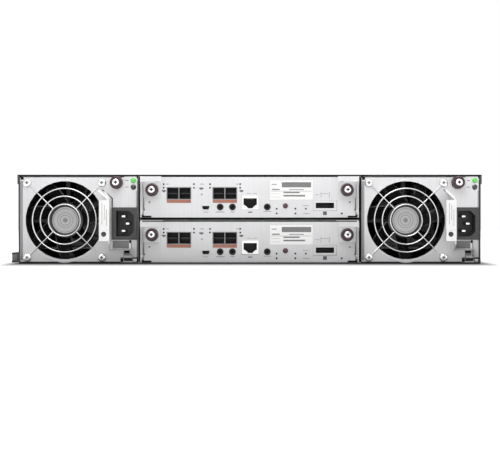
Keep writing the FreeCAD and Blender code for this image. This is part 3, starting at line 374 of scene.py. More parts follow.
class Finish:
    """One material, built node by node round a Principled shader."""

    def __init__(self, name, **plain):
        self.material = bpy.data.materials.new(name)
        self.material.use_nodes = True
        self.tree = self.material.node_tree
        self.shader = self.tree.nodes["Principled BSDF"]
        self.place = add_node(self.tree, "ShaderNodeTexCoord", {}, "Object")
        for socket, value in plain.items():
            self.shader.inputs[socket.replace("_", " ").title()].default_value = value

    def feed(self, socket, value):
        """Links a value to the shader."""
        plug(self.shader.inputs[socket], value)

    def noise(self, scale, detail=2, place=None):
        """Fractal noise; the scale is in waves per metre."""
        inputs = {"Vector": place or self.place, "Scale": scale, "Detail": detail}
        return add_node(self.tree, "ShaderNodeTexNoise", inputs)

    def streaks(self, scales, detail):
        """Fractal noise with its own waves per metre on each axis."""
        place = add_node(self.tree, "ShaderNodeMapping", {"Vector": self.place, "Scale": scales})
        return self.noise(1, detail, place)

    def axes(self):
        """The three Object coordinates."""
        split = self.tree.nodes.new("ShaderNodeSeparateXYZ")
        self.tree.links.new(self.place.socket, split.inputs[0])
        return [Value(self.tree, socket) for socket in split.outputs]

    def blend(self, share, first, second):
        """Colour between two colours, by a share from 0 to 1."""
        inputs = {0: share, 6: first, 7: second}
        return add_node(self.tree, "ShaderNodeMix", inputs, 2, data_type="RGBA")

    def skin(self, colour, roughness, *relief):
        """Gives the shader its colour, its roughness and a relief of pattern, millimetres and strength."""
        self.feed("Base Color", colour)
        self.feed("Roughness", roughness)
        if relief:
            pattern, rise, strength = relief
            inputs = {"Height": pattern, "Distance": rise * MM, "Strength": strength}
            self.feed("Normal", add_node(self.tree, "ShaderNodeBump", inputs))


def tone(colour, factor):
    """A colour made lighter or darker, with its alpha."""
    return (*[min(1, channel * factor) for channel in colour[:3]], 1)


def sheet_metal(name, colour, metallic, roughness, streak=0.06, base_shade=0, recess_shade=0):
    """Zinc-coated sheet with fine upright brushing and clouding.

    Painted shade: it darkens by one share towards the base, and by a second share behind the outer faces.
    """
    finish = Finish(name, metallic=metallic)
    brushing = finish.streaks((900, 900, 12), 3)
    clouding = finish.noise(24, 3)
    share = brushing * 0.6 + clouding * 0.4
    _, along, up = finish.axes()
    skin = 2.5 * MM
    behind = ((along - REAR) / skin - 1).clamped()
    # Painted shade: darker towards the base, and darker again deeper than 2.5 mm behind the outer faces.
    light = ((up / CAD_BOX[1].z).clamped() * base_shade + (1 - base_shade)) * (behind * -recess_shade + 1)
    coat = finish.blend(share, tone(colour, 1 - streak * 2), tone(colour, 1 + streak))
    finish.skin(finish.blend(light, BLACK, coat), clouding * 0.12 + brushing * 0.1 + (roughness - 0.11),
                brushing, 0.012, 0.5)


def banded_steel(name, metallic, colour, *bands):
    """Bright sheet whose colour changes in bands (low, high, colour) of height, painting shade and highlight
    by height.
    """
    finish = Finish(name, metallic=metallic)
    up = finish.axes()[2]
    for low, high, other in bands:
        colour = finish.blend(up.within((low, high)), colour, other)
    brushing = finish.streaks((900, 900, 12), 3)
    finish.skin(colour, brushing * 0.1 + 0.33, brushing, 0.01, 0.5)


def powder_coat(name, colour, roughness=0.5):
    """Baked paint with a fine orange-peel skin and faint scuffs."""
    finish = Finish(name, metallic=0)
    peel = finish.noise(1400)
    scuffs = finish.streaks((60, 18, 160), 4)
    worn = ((scuffs - 0.6) * 4).clamped()
    finish.skin(finish.blend(worn * 0.35, tone(colour, 1), tone(colour, 1.8)),
                worn * 0.12 + (roughness - 0.03), peel, 0.03, 0.6)


def moulded(name, colour, roughness, grain=2600, relief=0.02, coat=0):
    """Moulded plastic with a spark-eroded grain."""
    finish = Finish(name, metallic=0, coat_weight=coat)
    skin = finish.noise(grain)
    flow = finish.noise(45, 3)
    finish.skin(finish.blend(flow, tone(colour, 0.85), tone(colour, 1.15)),
                skin * 0.14 + (roughness - 0.07), skin, relief, 0.7)


def grained(name, colour, roughness, metallic=1, waves=900, darker=0.9, lighter=1.05, relief=0.006):
    """Plated steel with faint draw marks, or a matt film when it isn't metallic."""
    finish = Finish(name, metallic=metallic)
    grain = finish.noise(waves, 3)
    finish.skin(finish.blend(grain, tone(colour, darker), tone(colour, lighter)),
                grain * 0.1 + (roughness - 0.05), grain, relief, 0.4)


def lens(name, colour, glow=BLACK, strength=0):
    """Moulded light lens, lit from behind when it has a strength."""
    finish = Finish(name, metallic=0, roughness=0.12, coat_weight=0.6, emission_strength=strength)
    ripple = finish.noise(1800)
    finish.feed("Base Color", finish.blend(ripple, tone(colour, 0.8), tone(colour, 1.2)))
    finish.feed("Emission Color", finish.blend(ripple, tone(glow, 0.75), tone(glow, 1.25)))


def printed_ink(name, colour, gloss=0.5):
    """Flat black for painted shade, or ink, with slightly uneven cover; the gloss is its mirror-like share.
    """
    finish = Finish(name, metallic=0, roughness=0.6)
    finish.shader.inputs["Specular IOR Level"].default_value = gloss
    cover = finish.noise(2500, 3)
    finish.feed("Base Color", finish.blend(cover, tone(colour, 0.75), tone(colour, 1.35)))


def strip_film(first, second):
    """Marker strip that turns from one colour to the other across each port pair."""
    finish = Finish("rust strip", metallic=0)
    across = finish.axes()[0]
    pitch = PORT_PAIRS[1] - PORT_PAIRS[0]
    wave = ((across / MM - PORT_PAIRS[0]) / pitch + 0.5).math("FRACT")
    cloud = finish.noise(500, 3)
    finish.skin(finish.blend((wave * 0.8 + cloud * 0.4 - 0.1).clamped(), first, second), cloud * 0.15 + 0.4)


def motor_label(colour, ink, centres):
    """Round motor label with plain printed rings about each fan's axis."""
    finish = Finish("motor label", metallic=0.1)
    across, _, up = finish.axes()
    side = across.math("GREATER_THAN", 0)
    (left, level), (right, _) = centres
    offset = across - (side * (right - left) + left)
    rise = up - level
    radius = (offset * offset + rise * rise).math("SQRT") / MM
    rings = radius.within((11.1, 11.6), (7, 7.5), (4.6, 5.2), (-1, 2.2))
    grain = finish.noise(1500)
    finish.skin(finish.blend((rings * 0.75 + grain * 0.1).clamped(), colour, ink), grain * 0.1 + 0.35)


def circuit_board(mask, tracks):
    """Solder mask with copper tracks under it."""
    finish = Finish("green board", metallic=0)
    cells = add_node(finish.tree, "ShaderNodeTexVoronoi", {"Vector": finish.place, "Scale": 260.0},
                     distance="MANHATTAN")
    lines = (cells * 9).math("FRACT").math("GREATER_THAN", 0.72)
    finish.skin(finish.blend(lines, mask, tracks), lines * 0.1 + 0.35, lines, 0.03, 0.5)


def port_bodies(body, mask, levels):
    """Blackened port shells, and the green board under them."""
    finish = Finish("port bodies", metallic=0)
    _, along, up = finish.axes()
    shells_end = -280 * MM
    board = up.within(*levels) * along.math("GREATER_THAN", shells_end)
    grain = finish.noise(1600)
    finish.skin(finish.blend(board, tone(body, 0.9), mask), grain * 0.12 + 0.42, grain, 0.01, 0.5)


def seen_directly(tree):
    """One for camera rays and for rays off mirrors and through lenses, else nothing."""
    rays = tree.nodes.new("ShaderNodeLightPath")
    camera, glossy, clear = [Value(tree, rays.outputs[f"Is {kind} Ray"])
                             for kind in ("Camera", "Glossy", "Transmission")]
    return (camera + glossy + clear).clamped()


def studio_floor():
    """White floor that keeps the shelf's cast shadow, darkened close round the shelf by a painted contact
    shadow, and else shows plain white.
    """
    finish = Finish("studio floor", roughness=0.9, emission_strength=1)
    across, along, _ = finish.axes()
    beside = (across.math("ABSOLUTE") - CAD_BOX[1].x * 0.92).math("MAXIMUM", 0)
    before = (along.math("ABSOLUTE") - CAD_BOX[1].y * 0.96).math("MAXIMUM", 0)
    narrowing = 5.0
    away = (beside * beside * narrowing ** 2 + before * before).math("SQRT")
    # Painted contact shadow: the floor's colour darkens, and its glow dims, close round the shelf's
    # footprint.
    near = (away / 0.11).clamped()
    far = ((away - 0.03) / 0.2).clamped()
    finish.feed("Base Color", finish.blend(near, (0.1, 0.1, 0.1, 1), (0.9, 0.9, 0.9, 1)))
    white = seen_directly(finish.tree) * (far * 0.6 + near * 0.4) * (finish.noise(3) * 0.02 + 0.98)
    finish.feed("Emission Color", finish.blend(white, BLACK, WHITE))


# The finishes of each slot; the first is its own nodes' finish.
SLOTS = {
    "painted_tray": ("dark paint", "dark screw", "worn paint"),
    "zinc_sheet": ("zinc sheet", "label film", "motor label", "shaded zinc", "shaded partition zinc", "pocket zinc",
                   "dull zinc"),
    "zinc_cover": ("cover paint",),
    "board": ("green board",),
    "black_plastic": ("port plastic", "shaded ink", "grey ink", "shaft black"),
    "fan_plastic": ("fan plastic", "rotor plastic"),
    "guard_steel": ("plated wire", "plated screw", "nickel shell", "shaded contact gold"),
    "inlet_plastic": ("inlet plastic",),
    "lamp_lens": ("green lens", "dark lens", "smoked lens", "amber lens"),
    "maroon_grip": ("maroon grip", "rust strip"),
    "maroon_button": ("maroon cap",),
    "latch_steel": ("latch zinc", "lever zinc", "bright zinc"),
    "carrier_plastic": ("bezel plastic", "grille black"),
    "carrier_lever_plastic": ("lever plastic",),
    "ear_steel": ("ear paint",),
}
# Other finishes of some nodes, by the start of their names.
EXCEPTIONS = {"bay_partitions": "shaded partition zinc", "release_lever": "lever zinc",
              "controller_ports": "port bodies"}


def metres(name, what, value):
    """A length a user may change."""
    return bpy.props.FloatProperty(name=name, description=what, default=value, unit="LENGTH")


class ShelfSizes(bpy.types.PropertyGroup):
    """Sizes of the dressed pieces that a user may change."""

    guard_wire: metres("Guard wire", "Thickness of the finger guard's wire", 1.35 * MM)
    emboss_height: metres("Emboss height", "Rise of the pressed ring round the fan opening", 0.1 * MM)
    dot_radius: metres("Light dot radius", "Radius of the small lights on the controllers", 0.95 * MM)
    knurls: bpy.props.IntProperty(
        name="Knurls", description="Ridges round each thumbscrew's grip", default=30)
    camera_distance: metres("Camera distance", "From the rear faces to the camera", 1.2)
    camera_height: metres("Camera height", "Height of the camera above the base", 35.4 * MM)
    camera_lens: bpy.props.FloatProperty(
        name="Camera lens", description="Focal length in millimetres", default=90.2)


def colour(name, what, value):
    """A colour a user may change."""
    return bpy.props.FloatVectorProperty(
        name=name, description=what, subtype="COLOR", size=4, min=0, max=1, default=(*value, 1))


class ShelfColours(bpy.types.PropertyGroup):
    """Colours of the finishes."""

    zinc: colour("Zinc", "Coated sheet of the module faces", (0.73, 0.73, 0.74))
    paint: colour("Paint", "Powder coat of the tray", (0.045, 0.046, 0.05))
    cover: colour("Cover", "Coat of the top cover", (0.05, 0.051, 0.054))
    steel: colour("Steel", "Plated wire and screws", (0.86, 0.86, 0.86))
    black: colour("Black", "Port bodies and the fan", (0.012, 0.012, 0.013))
    inlet: colour("Inlet", "Moulding of the mains inlets", (0.045, 0.045, 0.047))
    maroon: colour("Maroon", "Grips and push buttons", (0.048, 0.018, 0.025))
    green: colour("Green", "Lit lamp", (0.10, 0.50, 0.07))
    bezel: colour("Bezel", "Drive carrier fronts", (0.05, 0.052, 0.056))


# ---- tables of flat pieces

# Rows of name, finish, back, front, softening and boxes, in millimetres on a face.
MODULE_PLATES = (
    # Painted shade along the rounded side bends of the module cases.
    ("case_bends", "shaded zinc", -0.2, 0.1, 0.1,
     (-56.2, -53.6, 3.4, 79.8, 0.8), (54.9, 56.2, 6.2, 80.8, 0.4)),
    # Painted shadows: black plates in the gaps, corner holes and cut-outs of the module faces, and under
    # their top edge.
    ("case_gaps", "shaft black", 0, 0.06, 0,
     (-55.9, -52.9, 80.6, 83.5), (54.8, 56.2, 81.4, 83.6), (39.8, 42.6, 1.9, 5.4),
     (51.4, 56.2, 1.9, 5.6), (48.2, 50.4, 20, 22.8), (55.4, 56.2, 5.8, 10.8),
     (-56.2, 56.2, MODULE_TOP - 1, MODULE_TOP - 0.1), (-56.2, 39.8, 1.4, 2.2), (55.8, 56.3, 2, 80),
     (39.8, 43, 5.6, 6.3), (50.9, 56.2, 5.6, 6.3), (50, 50.5, 8, 20)),
    # Painted shade in the recessed lever pocket.
    ("lever_pocket", "pocket zinc", 0, 0.2, 0.08, (32.3, 48, 14.9, 22.4, 0.4)),
    # Painted shade on the panel beside the lever's foot.
    ("lever_panel", "dull zinc", 0, 0.15, 0.06, (50.6, 55.3, 6.5, 22.4, 0.3)),
    ("stop_block", "zinc sheet", 0, 0.5, 0.15, (51.9, 55.4, 2, 4.9, 0.3)),
    ("lamp_label", "zinc sheet", 0, 0.12, 0, (43.4, 55.6, 69.9, 83.6, 0.8)),
    ("lamp_marks", "grey ink", 0.05, 0.16, 0,
     (44.6, 47.6, 79.55, 80.25), (44.6, 47.6, 73.25, 73.95)),
)
LEVER_PLATES = (
    ("strap_label", "label film", 0, 0.1, 0, (22.3, 30.9, 33.4, 60.4, 0.9)),
    ("strap_bars", "grey ink", 0.05, 0.13, 0, (24.4, 24.75, 38, 58.2), (26.6, 26.95, 42, 56),
     (28.6, 28.95, 36.6, 52)),
)
LABEL_PLATES = (
    ("bare_label", "label film", 0, 0.12, 0, (19.6, 60.4, 17, 35.6, 0.6)),
    ("label_bars", "grey ink", 0.08, 0.16, 0,
     (30.8, 59, 28.9, 33.8), (32.4, 48, 23.3, 24.6), (32.4, 53.2, 20.1, 21.6)),
    ("face_icons", "shaded ink", 0, 0.06, 0,
     (-84, -80.6, 25.3, 26.3), (-83.2, -81.2, 24.2, 25), (-48.2, -44.4, 27.9, 28.7),
     (-47.4, -44.9, 26.7, 27.5), (-9.6, -6, 25.5, 26.3), (-8.8, -6.8, 24.3, 25.1),
     (-1.2, 2.2, 4.5, 5.3), (70.3, 74, 2.4, 5.8)),
    # Painted highlight along the controllers' side edges.
    ("face_margins", "bright zinc", -0.1, 0.12, 0.05, *mirrored(102.9, 104.4, 3, 39.6)),
)
# Boxes of the thin lines on the label, and of the small marks beside the ports.
LABEL_LINES = (
    (20.6, 59.4, 25.1, 25.4), (20.6, 29, 22.6, 22.8), (20.6, 29.4, 19.4, 19.6),
    (21.2, 26, 31.4, 32.2), (38, 52, 26.4, 27.1), (21.4, 28.8, 26.3, 27.4),
)
FACE_MARKS = (
    (-79.9, -77.4, 31.7, 32.3), (-83.6, -80.2, 24.9, 25.7), (-47.6, -43.6, 31.7, 32.3),
    (-48.6, -43.8, 27.4, 28), (-12.9, -10.7, 31.7, 32.3), (-9.8, -5.8, 24.9, 25.5),
    (-2.6, 1.4, 22.8, 23.2), (3.4, 7, 22.8, 23.2), (-44, -39.9, 4.9, 5.4),
    (-32.2, -24, 5, 5.6), (-18.2, -14.4, 5, 5.6), (-1.6, 2.8, 4.8, 5.6),
    (13.4, 20.6, 5.6, 6.1), (51, 56.8, 11.2, 11.6), (51.6, 57, 3.6, 4.1),
    (68.2, 75.6, 22.6, 23), (68.2, 68.6, 19, 24.4), (76.2, 76.6, 19, 24.4),
    (62.6, 66.8, 21.5, 21.9),
)


# ---- operators


class SHELF_OT_finishes(bpy.types.Operator):
    """Makes every finish and gives each CAD node its own"""

    bl_idname = "shelf.finishes"
    bl_label = "Finishes"

    def execute(self, context):
        hues = context.scene.shelf_colours
        sheet_metal("zinc sheet", hues.zinc, 0.5, 0.42, 0.08, 0.2, 0.45)
        # Painted light on the latches: the lower latch's tab is darker as painted shade under the upper
        # latch, the upper tab lighter as a painted highlight.
        lower, upper = (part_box(f"latch_left_{level}")[1].z - 4.9 * MM for level in LEVELS)
        tab = 6 * MM
        banded_steel("latch zinc", 0.4, tone(hues.zinc, 0.95), (lower, lower + tab, tone(hues.zinc, 0.8)),
                     (upper, 1, tone(hues.zinc, 1)))
        powder_coat("dark paint", hues.paint)
        powder_coat("cover paint", hues.cover, 0.45)
        # A paint three times lighter than the dark paint, for the guide block.
        powder_coat("worn paint", tone(hues.paint, 3), 0.45)
        powder_coat("ear paint", hues.paint, 0.4)
        sheet_metal("shaded zinc", tone(hues.zinc, 0.4), 0.5, 0.5)
        # Painted shade: a darker copy of the face zinc, for the panel beside the lever's foot and the shelf
        # edge.
        sheet_metal("dull zinc", tone(hues.zinc, 0.68), 0.5, 0.45)
        # Painted shade: the bay partitions in a zinc far darker than the faces, deep between the modules.
        sheet_metal("shaded partition zinc", tone(hues.zinc, 0.42), 0.4, 0.5)
        # Painted shade: a very dark zinc for the recessed pocket behind the lever.
        sheet_metal("pocket zinc", tone(hues.zinc, 0.22), 0.4, 0.5)
        # Painted light on the release levers: a near-white arm as painted highlight; below 9.8 mm a darker
        # foot and below 6 mm a near-black cam as painted shade.
        foot, cam = 9.8 * MM, 6.0 * MM
        banded_steel("lever zinc", 0.3, (0.86, 0.86, 0.86, 1), (-1, foot, tone(hues.zinc, 0.75)),
                     (-1, cam, tone(hues.zinc, 0.12)))
        # Painted shade: a flat black laid on gaps, holes, recesses and lips where only shade is seen.
        printed_ink("shaft black", (0.005, 0.005, 0.005, 1), 0.1)
        moulded("port plastic", hues.black, 0.5)
        moulded("fan plastic", hues.black, 0.35, 1800)
        moulded("rotor plastic", tone(hues.black, 1.6), 0.2, 1200, 0.008, 0.4)
        moulded("inlet plastic", hues.inlet, 0.4)
        moulded("maroon grip", hues.maroon, 0.4, 2200, 0.03)
        moulded("maroon cap", tone(hues.maroon, 1.9), 0.3)
        moulded("bezel plastic", hues.bezel, 0.5)
        moulded("lever plastic", tone(hues.bezel, 2.6), 0.42)
        moulded("grille black", tone(hues.black, 1.2), 0.6)
        # Painted highlight: a near-white zinc for lit edges, the lever pocket's fold and the strip on each
        # lever's arm.
        sheet_metal("bright zinc", (0.95, 0.95, 0.95, 1), 0.2, 0.4, 0.03)
        # Painted shade: the guard wire's steel is darker than the screws', standing in for the shade on its
        # spokes.
        grained("plated wire", tone(hues.steel, 0.76), 0.26)
        grained("plated screw", tone(hues.steel, 1.05), 0.26)
        grained("nickel shell", tone(hues.steel, 0.95), 0.3)
        # Painted shade: a darkened gold for the contacts deep inside the network sockets.
        grained("shaded contact gold", (0.2, 0.15, 0.06, 1), 0.3)
        grained("dark screw", (0.07, 0.07, 0.075, 1), 0.35)
        lens("green lens", hues.green, (0.12, 0.75, 0.08, 1), 0.28)
        lens("dark lens", (0.012, 0.008, 0.01, 1))
        lens("smoked lens", (0.015, 0.015, 0.015, 1))
        lens("amber lens", (0.5, 0.22, 0.03, 1))
        grained("label film", (0.97, 0.97, 0.96, 1), 0.55, 0, 1200, 0.96, 1.02, 0.004)
        printed_ink("shaded ink", (0.09, 0.09, 0.09, 1))
        printed_ink("grey ink", (0.2, 0.2, 0.2, 1))
        strip_film((0.40, 0.205, 0.135, 1), (0.38, 0.125, 0.10, 1))
        circuit_board((0.01, 0.07, 0.03, 1), (0.02, 0.13, 0.05, 1))
        boards = [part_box(f"controller_case_{level}")[0].z for level in LEVELS]
        port_bodies(hues.black, (0.01, 0.07, 0.03, 1), [(low + 2.9 * MM, low + 4.7 * MM) for low in boards])
        fans = [fan_face(side).origin for side in SIDES]
        motor_label((0.52, 0.52, 0.52, 1), (0.17, 0.17, 0.17, 1), [(fan.x, fan.z) for fan in fans])
        for name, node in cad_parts.items():
            other = [finish for start, finish in EXCEPTIONS.items() if name.startswith(start)]
            for entry in node.material_slots:
                slot = entry.material.name.split(".")[0]
                entry.material = bpy.data.materials[(other or SLOTS[slot])[0]]
        return {"FINISHED"}


class SHELF_OT_fan_guards(bpy.types.Operator):
    """Round wire finger guards, held by four pan-head screws each"""

    bl_idname = "shelf.fan_guards"
    bl_label = "Fan guards"

    def execute(self, context):
        thick = context.scene.shelf_sizes.guard_wire / MM
        eye, screw_circle = 3.3, 35.75 * 2 ** 0.5
        for side, _, body in modules():
            dial = fan_face(side)
            wires = [ring(radius, thick, dial.at(0, 0, thick * 1.45)) for radius in (30.5, 23, 15.2)]
            screws, shades = [], []
            for quarter in (45, 135, 225, 315):
                turn = radians(quarter)
                ray = Vector((cos(turn), sin(turn)))
                x, z = ray * screw_circle
                spoke = [ray * 14.6, *((x + a, z + b) for a, b in circle(eye, 20, turn + pi))]
                wires.append(wire(dial.outline(spoke, thick / 2), thick / 2))
                screws.append(screw_head(dial, x, z, thick, 3.75, 1.8))
                shades.append(socket_shade(dial, x, z, thick + 1.15, 1.7))
            guard = dressed(joined(wires), f"finger_guard_{side}", "plated wire", body, 60)
            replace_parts(guard, f"fan_guard_{side}")
            dressed(joined(screws), f"guard_screws_{side}", "plated screw", body)
            # Painted shade: grey discs at the bottom of the guard screws' recesses.
            dressed(joined(shades), f"guard_socket_shades_{side}", "grey ink", body)
        return {"FINISHED"}


class SHELF_OT_fan_rotors(bpy.types.Operator):
    """Fan hubs with seven swept blades and a round motor label"""

    bl_idname = "shelf.fan_rotors"
    bl_label = "Fan rotors"

    def execute(self, context):
        for side in SIDES:
            low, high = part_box(f"fan_rotor_{side}")
            fan = box_middle(f"fan_frame_{side}")
            middle = Vector((fan.x, low.y, fan.z))
            length = (high.y - low.y) / MM
            hub = turned([(0, 0), (13, 0), (13.2, 0.3), (15.8, 0.3), (16.7, -0.1), (17, -1.2),
                          (17, -length), (15.6, -length), (15.6, -1.6), (0, -1.6)], middle, OUT, 72)
            rotor = joined([hub, self.blades(middle, length)])
            dressed(rotor, f"rotor_{side}", "rotor plastic", f"fan_{side}", 30)
            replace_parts(rotor, f"fan_rotor_{side}")
            badge = turned([(0, 0.25), (12.5, 0.25), (12.7, 0.2), (12.7, 0), (0, 0)], middle, OUT, 72)
            dressed(badge, f"motor_label_{side}", "motor label", f"fan_{side}")
        return {"FINISHED"}

    def blades(self, middle, length):
        """One blade, drawn along its camber and pulled out to the tip, then copied round."""
        root, tip, steps, count = 16.2, 37, 6, 7
        pitch, twist, chord, camber, thickness = radians(47), radians(3.5), length * 1.02, 1.5, 1.1
        axis_middle = middle - OUT * length / 2 * MM
        line = []
        for number in range(7):
            share = number / 3 - 1
            along, bulge = share * chord / 2, camber * (1 - share * share)
            line.append(axis_middle + Vector((root, along * cos(pitch) + bulge * sin(pitch),
                                              along * sin(pitch) - bulge * cos(pitch))) * MM)
        draw_line(line)
        for _ in range(steps):
            step = Vector(((tip - root) / steps * MM, 0, 0))
            bpy.ops.mesh.extrude_edges_move(TRANSFORM_OT_translate={"value": step})
            bpy.ops.transform.rotate(value=twist, orient_axis="Y", center_override=axis_middle)
        bpy.ops.mesh.select_all(action="SELECT")
        for _ in range(count - 1):
            bpy.ops.mesh.duplicate()
            bpy.ops.transform.rotate(value=2 * pi / count, orient_axis="Y", center_override=axis_middle)
        blades = close_mesh()
        applied(blades, "SOLIDIFY", thickness=thickness * MM, offset=0.0)
        return softened(blades, 0.35)


class SHELF_OT_thumbscrews(bpy.types.Operator):
    """Captive thumbscrews: a knurled maroon grip with a plated crossed head"""

    bl_idname = "shelf.thumbscrews"
    bl_label = "Thumbscrews"

    def execute(self, context):
        nodes = [f"psu_thumbscrew_{side}" for side in SIDES]
        nodes += [f"thumbscrew_{side}_{level}" for side in SIDES for level in LEVELS]
        grip, screw = self.model(context.scene.shelf_sizes.knurls)
        # Painted shade: a black disc at the bottom of each thumbscrew head's recess.
        shade = socket_shade(Face(0, 0, 0), 0, 0, -0.55, 1.6)
        sources = ((screw, "captive_screw", "plated screw"), (shade, "screw_socket", "shaft black"))
        for node in nodes:
            shift = rear_middle(node)
            cover = copied(grip, shift)
            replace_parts(dressed(cover, node.replace("thumbscrew", "grip"), "maroon grip", node), node)
            for source, name, finish in sources:
                dressed(copied(source, shift), node.replace("thumbscrew", name), finish, node)
        for piece in (grip, screw, shade):
            bpy.data.objects.remove(piece)
        return {"FINISHED"}

    def model(self, knurls):
        """Grip and screw with the middle of the head's face at the origin, reaching backwards."""
        face = Face(0, 0, 0)
        teeth = []
        for number in range(knurls * 2):
            radius = 5.95 if number % 2 else 6.3
            turn = pi * number / knurls
            teeth.append((radius * cos(turn), radius * sin(turn)))
        barrel = plate(face, teeth, -9, -2.4, taper=0.9)
        flange = turned([(2.1, -9.4), (6.1, -9.4), (6.3, -9.2), (6.3, -8.9), (2.1, -8.9)], Vector())
        collar = turned([(3.6, -2.6), (5.75, -2.6), (5.6, -1.9), (5.1, -1.4), (4.1, -1.3), (3.6, -1.6),
                         (3.6, -2.6)], Vector(), OUT, 60)
        grip = joined([barrel, flange, collar])
        head = screw_head(face, 0, 0, -1.9, 3.55, 1.9)
        shank = turned([(0, -2), (2, -2), (2, -10.9), (1.6, -11.3), (0, -11.3)], Vector(), OUT, 32)
        return grip, joined([head, shank])


class SHELF_OT_module_faces(bpy.types.Operator):
    """Pressed ring, lamp label and lamps of the power modules, with painted shadows, painted shade and a
    painted highlight on their faces
    """

    bl_idname = "shelf.module_faces"
    bl_label = "Power module faces"

    def execute(self, context):
        rise = context.scene.shelf_sizes.emboss_height / MM
        dome = [(0, 1.7), (1, 1.6), (1.9, 1.2), (2.45, 0.6), (2.65, 0.1), (2.65, -1), (0, -1)]
        for side, face, body in modules():
            bead = turned([(38.5, -0.2), (38.5, 0), (39, rise * 0.7), (39.7, rise), (40.4, rise * 0.7),
                           (40.9, 0), (40.9, -0.2), (38.5, -0.2)], fan_face(side).origin, OUT, 96)
            dressed(bead, f"pressed_ring_{side}", "zinc sheet", body, 60)
            dress_plates(face, body, f"_{side}", MODULE_PLATES)
            # Painted highlight: a near-white wire along the fold of the lever pocket.
            fold = wire(face.outline([(31.6, 13.8), (49, 13.8), (49, 6.4)]), 0.6)
            dressed(fold, f"lever_fold_{side}", "bright zinc", body, 60)
            power = dressed(turned(dome, face.at(52.2, 79.9)), f"power_lamp_{side}", "green lens", body, 60)
            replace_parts(power, f"status_lamps_{side}")
            dressed(turned(dome, face.at(52.2, 73.6)), f"fault_lamp_{side}", "dark lens", body, 60)
        return {"FINISHED"}


class SHELF_OT_release_levers(bpy.types.Operator):
    """Label, rivet and painted highlight on the arm of each release lever, and a painted shadow in the gap
    behind the arm
    """

    bl_idname = "shelf.release_levers"
    bl_label = "Release levers"

    def execute(self, context):
        arm = [(20.6, 69.4), (21.8, 70.6), (30, 63.4), (30, 61.2), (28.8, 61.2), (28.6, 62.2)]
        gap = [(22, 71.1), (22.7, 71.5), (31.6, 63.9), (32.5, 63), (32.5, 54.4), (31.6, 54.4),
               (31.6, 62.6), (30.8, 63.4)]
        for side, module, power_body in modules():
            body = f"release_lever_{side}"
            face = Face(module.origin.x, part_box(body)[0].y, 0)
            dress_plates(face, body, f"_{side}", LEVER_PLATES)
            # Painted highlight on the lever's arm, and a painted shadow along the gap beside it.
            dressed(plate(face, arm, -0.1, 0.15), f"arm_highlight_{side}", "bright zinc", body)
            dressed(plate(module, gap, -0.1, 0.1), f"arm_gap_shadow_{side}", "shaft black", power_body)
            rivet = turned([(0, 0.5), (0.9, 0.45), (1, 0.15), (1.5, 0.25), (2, 0.6), (2.3, 0.3),
                            (2.4, 0), (0, 0)], face.at(26.1, 28.6), OUT, 32)
            dressed(rivet, f"strap_rivet_{side}", "dark screw", body, 60)
        return {"FINISHED"}


class SHELF_OT_mains_inlets(bpy.types.Operator):
    """Rim and plated pins of the mains inlets"""

    bl_idname = "shelf.mains_inlets"
    bl_label = "Mains inlets"

    def execute(self, context):
        left, right, half, bevel = 35.8, 52.6, 12.2, 4.6
        hole = [(left, -half), (right - bevel, -half), (right, bevel - half), (right, half - bevel),
                (right - bevel, half), (left, half)]
        for side, module, body in modules():
            low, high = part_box(f"ac_inlet_{side}")
            face = Face(module.origin.x, low.y, (low.z + high.z) / 2)
            edge = (high.z - low.z) / 2 / MM - 0.6
            rim = rim_plate(face, (29.8, 55.5, -edge, edge, 0.9), hole, 0.5, 0.3)
            dressed(rim, f"inlet_rim_{side}", "inlet plastic", body)
            pins = [plate(face, rectangle(x - 1.8, x + 1.8, z - 0.95, z + 0.95), -17.4, -4.4, 0.4, 0.96)
                    for x, z in ((42.2, 7), (42.2, -7), (46.2, 0))]
            dressed(softened(joined(pins), 0.25), f"inlet_pins_{side}", "plated screw", body)
        return {"FINISHED"}


class SHELF_OT_host_ports(bpy.types.Operator):
    """Cage edges, contact tongues and marker strips of the host ports"""

    bl_idname = "shelf.host_ports"
    bl_label = "Host ports"

    def execute(self, context):
        low, high = 17.8, 28.5
        tongues = [(left, left + 8.5, 22.9, 23.5) for x in PORT_PAIRS for left in (x - 10.2, x + 1.7)]
        strips = [(x - 11.6, x + 11.6, 14, 17.1, 0.5) for x in PORT_PAIRS]
        for level, face, body in controllers():
            cages = []
            for x in PORT_PAIRS:
                cage = plate(face, rectangle(x - 11.7, x + 11.7, low - 0.5, high + 0.5), -0.6, 0.3)
                for left in (x - 11.1, x + 0.4):
                    cut_from(cage, plate(face, rectangle(left, left + 10.7, low, high), -2, 1))
                cages.append(cage)
            dressed(softened(joined(cages), 0.1), f"cage_dividers_{level}", "shaded zinc", body)
            tongue = plates(face, tongues, -6, -0.6)
            dressed(tongue, f"contact_tongues_{level}", "dark screw", body)
            dressed(plates(face, strips, 0, 0.2), f"marker_strips_{level}", "rust strip", body)
        return {"FINISHED"}


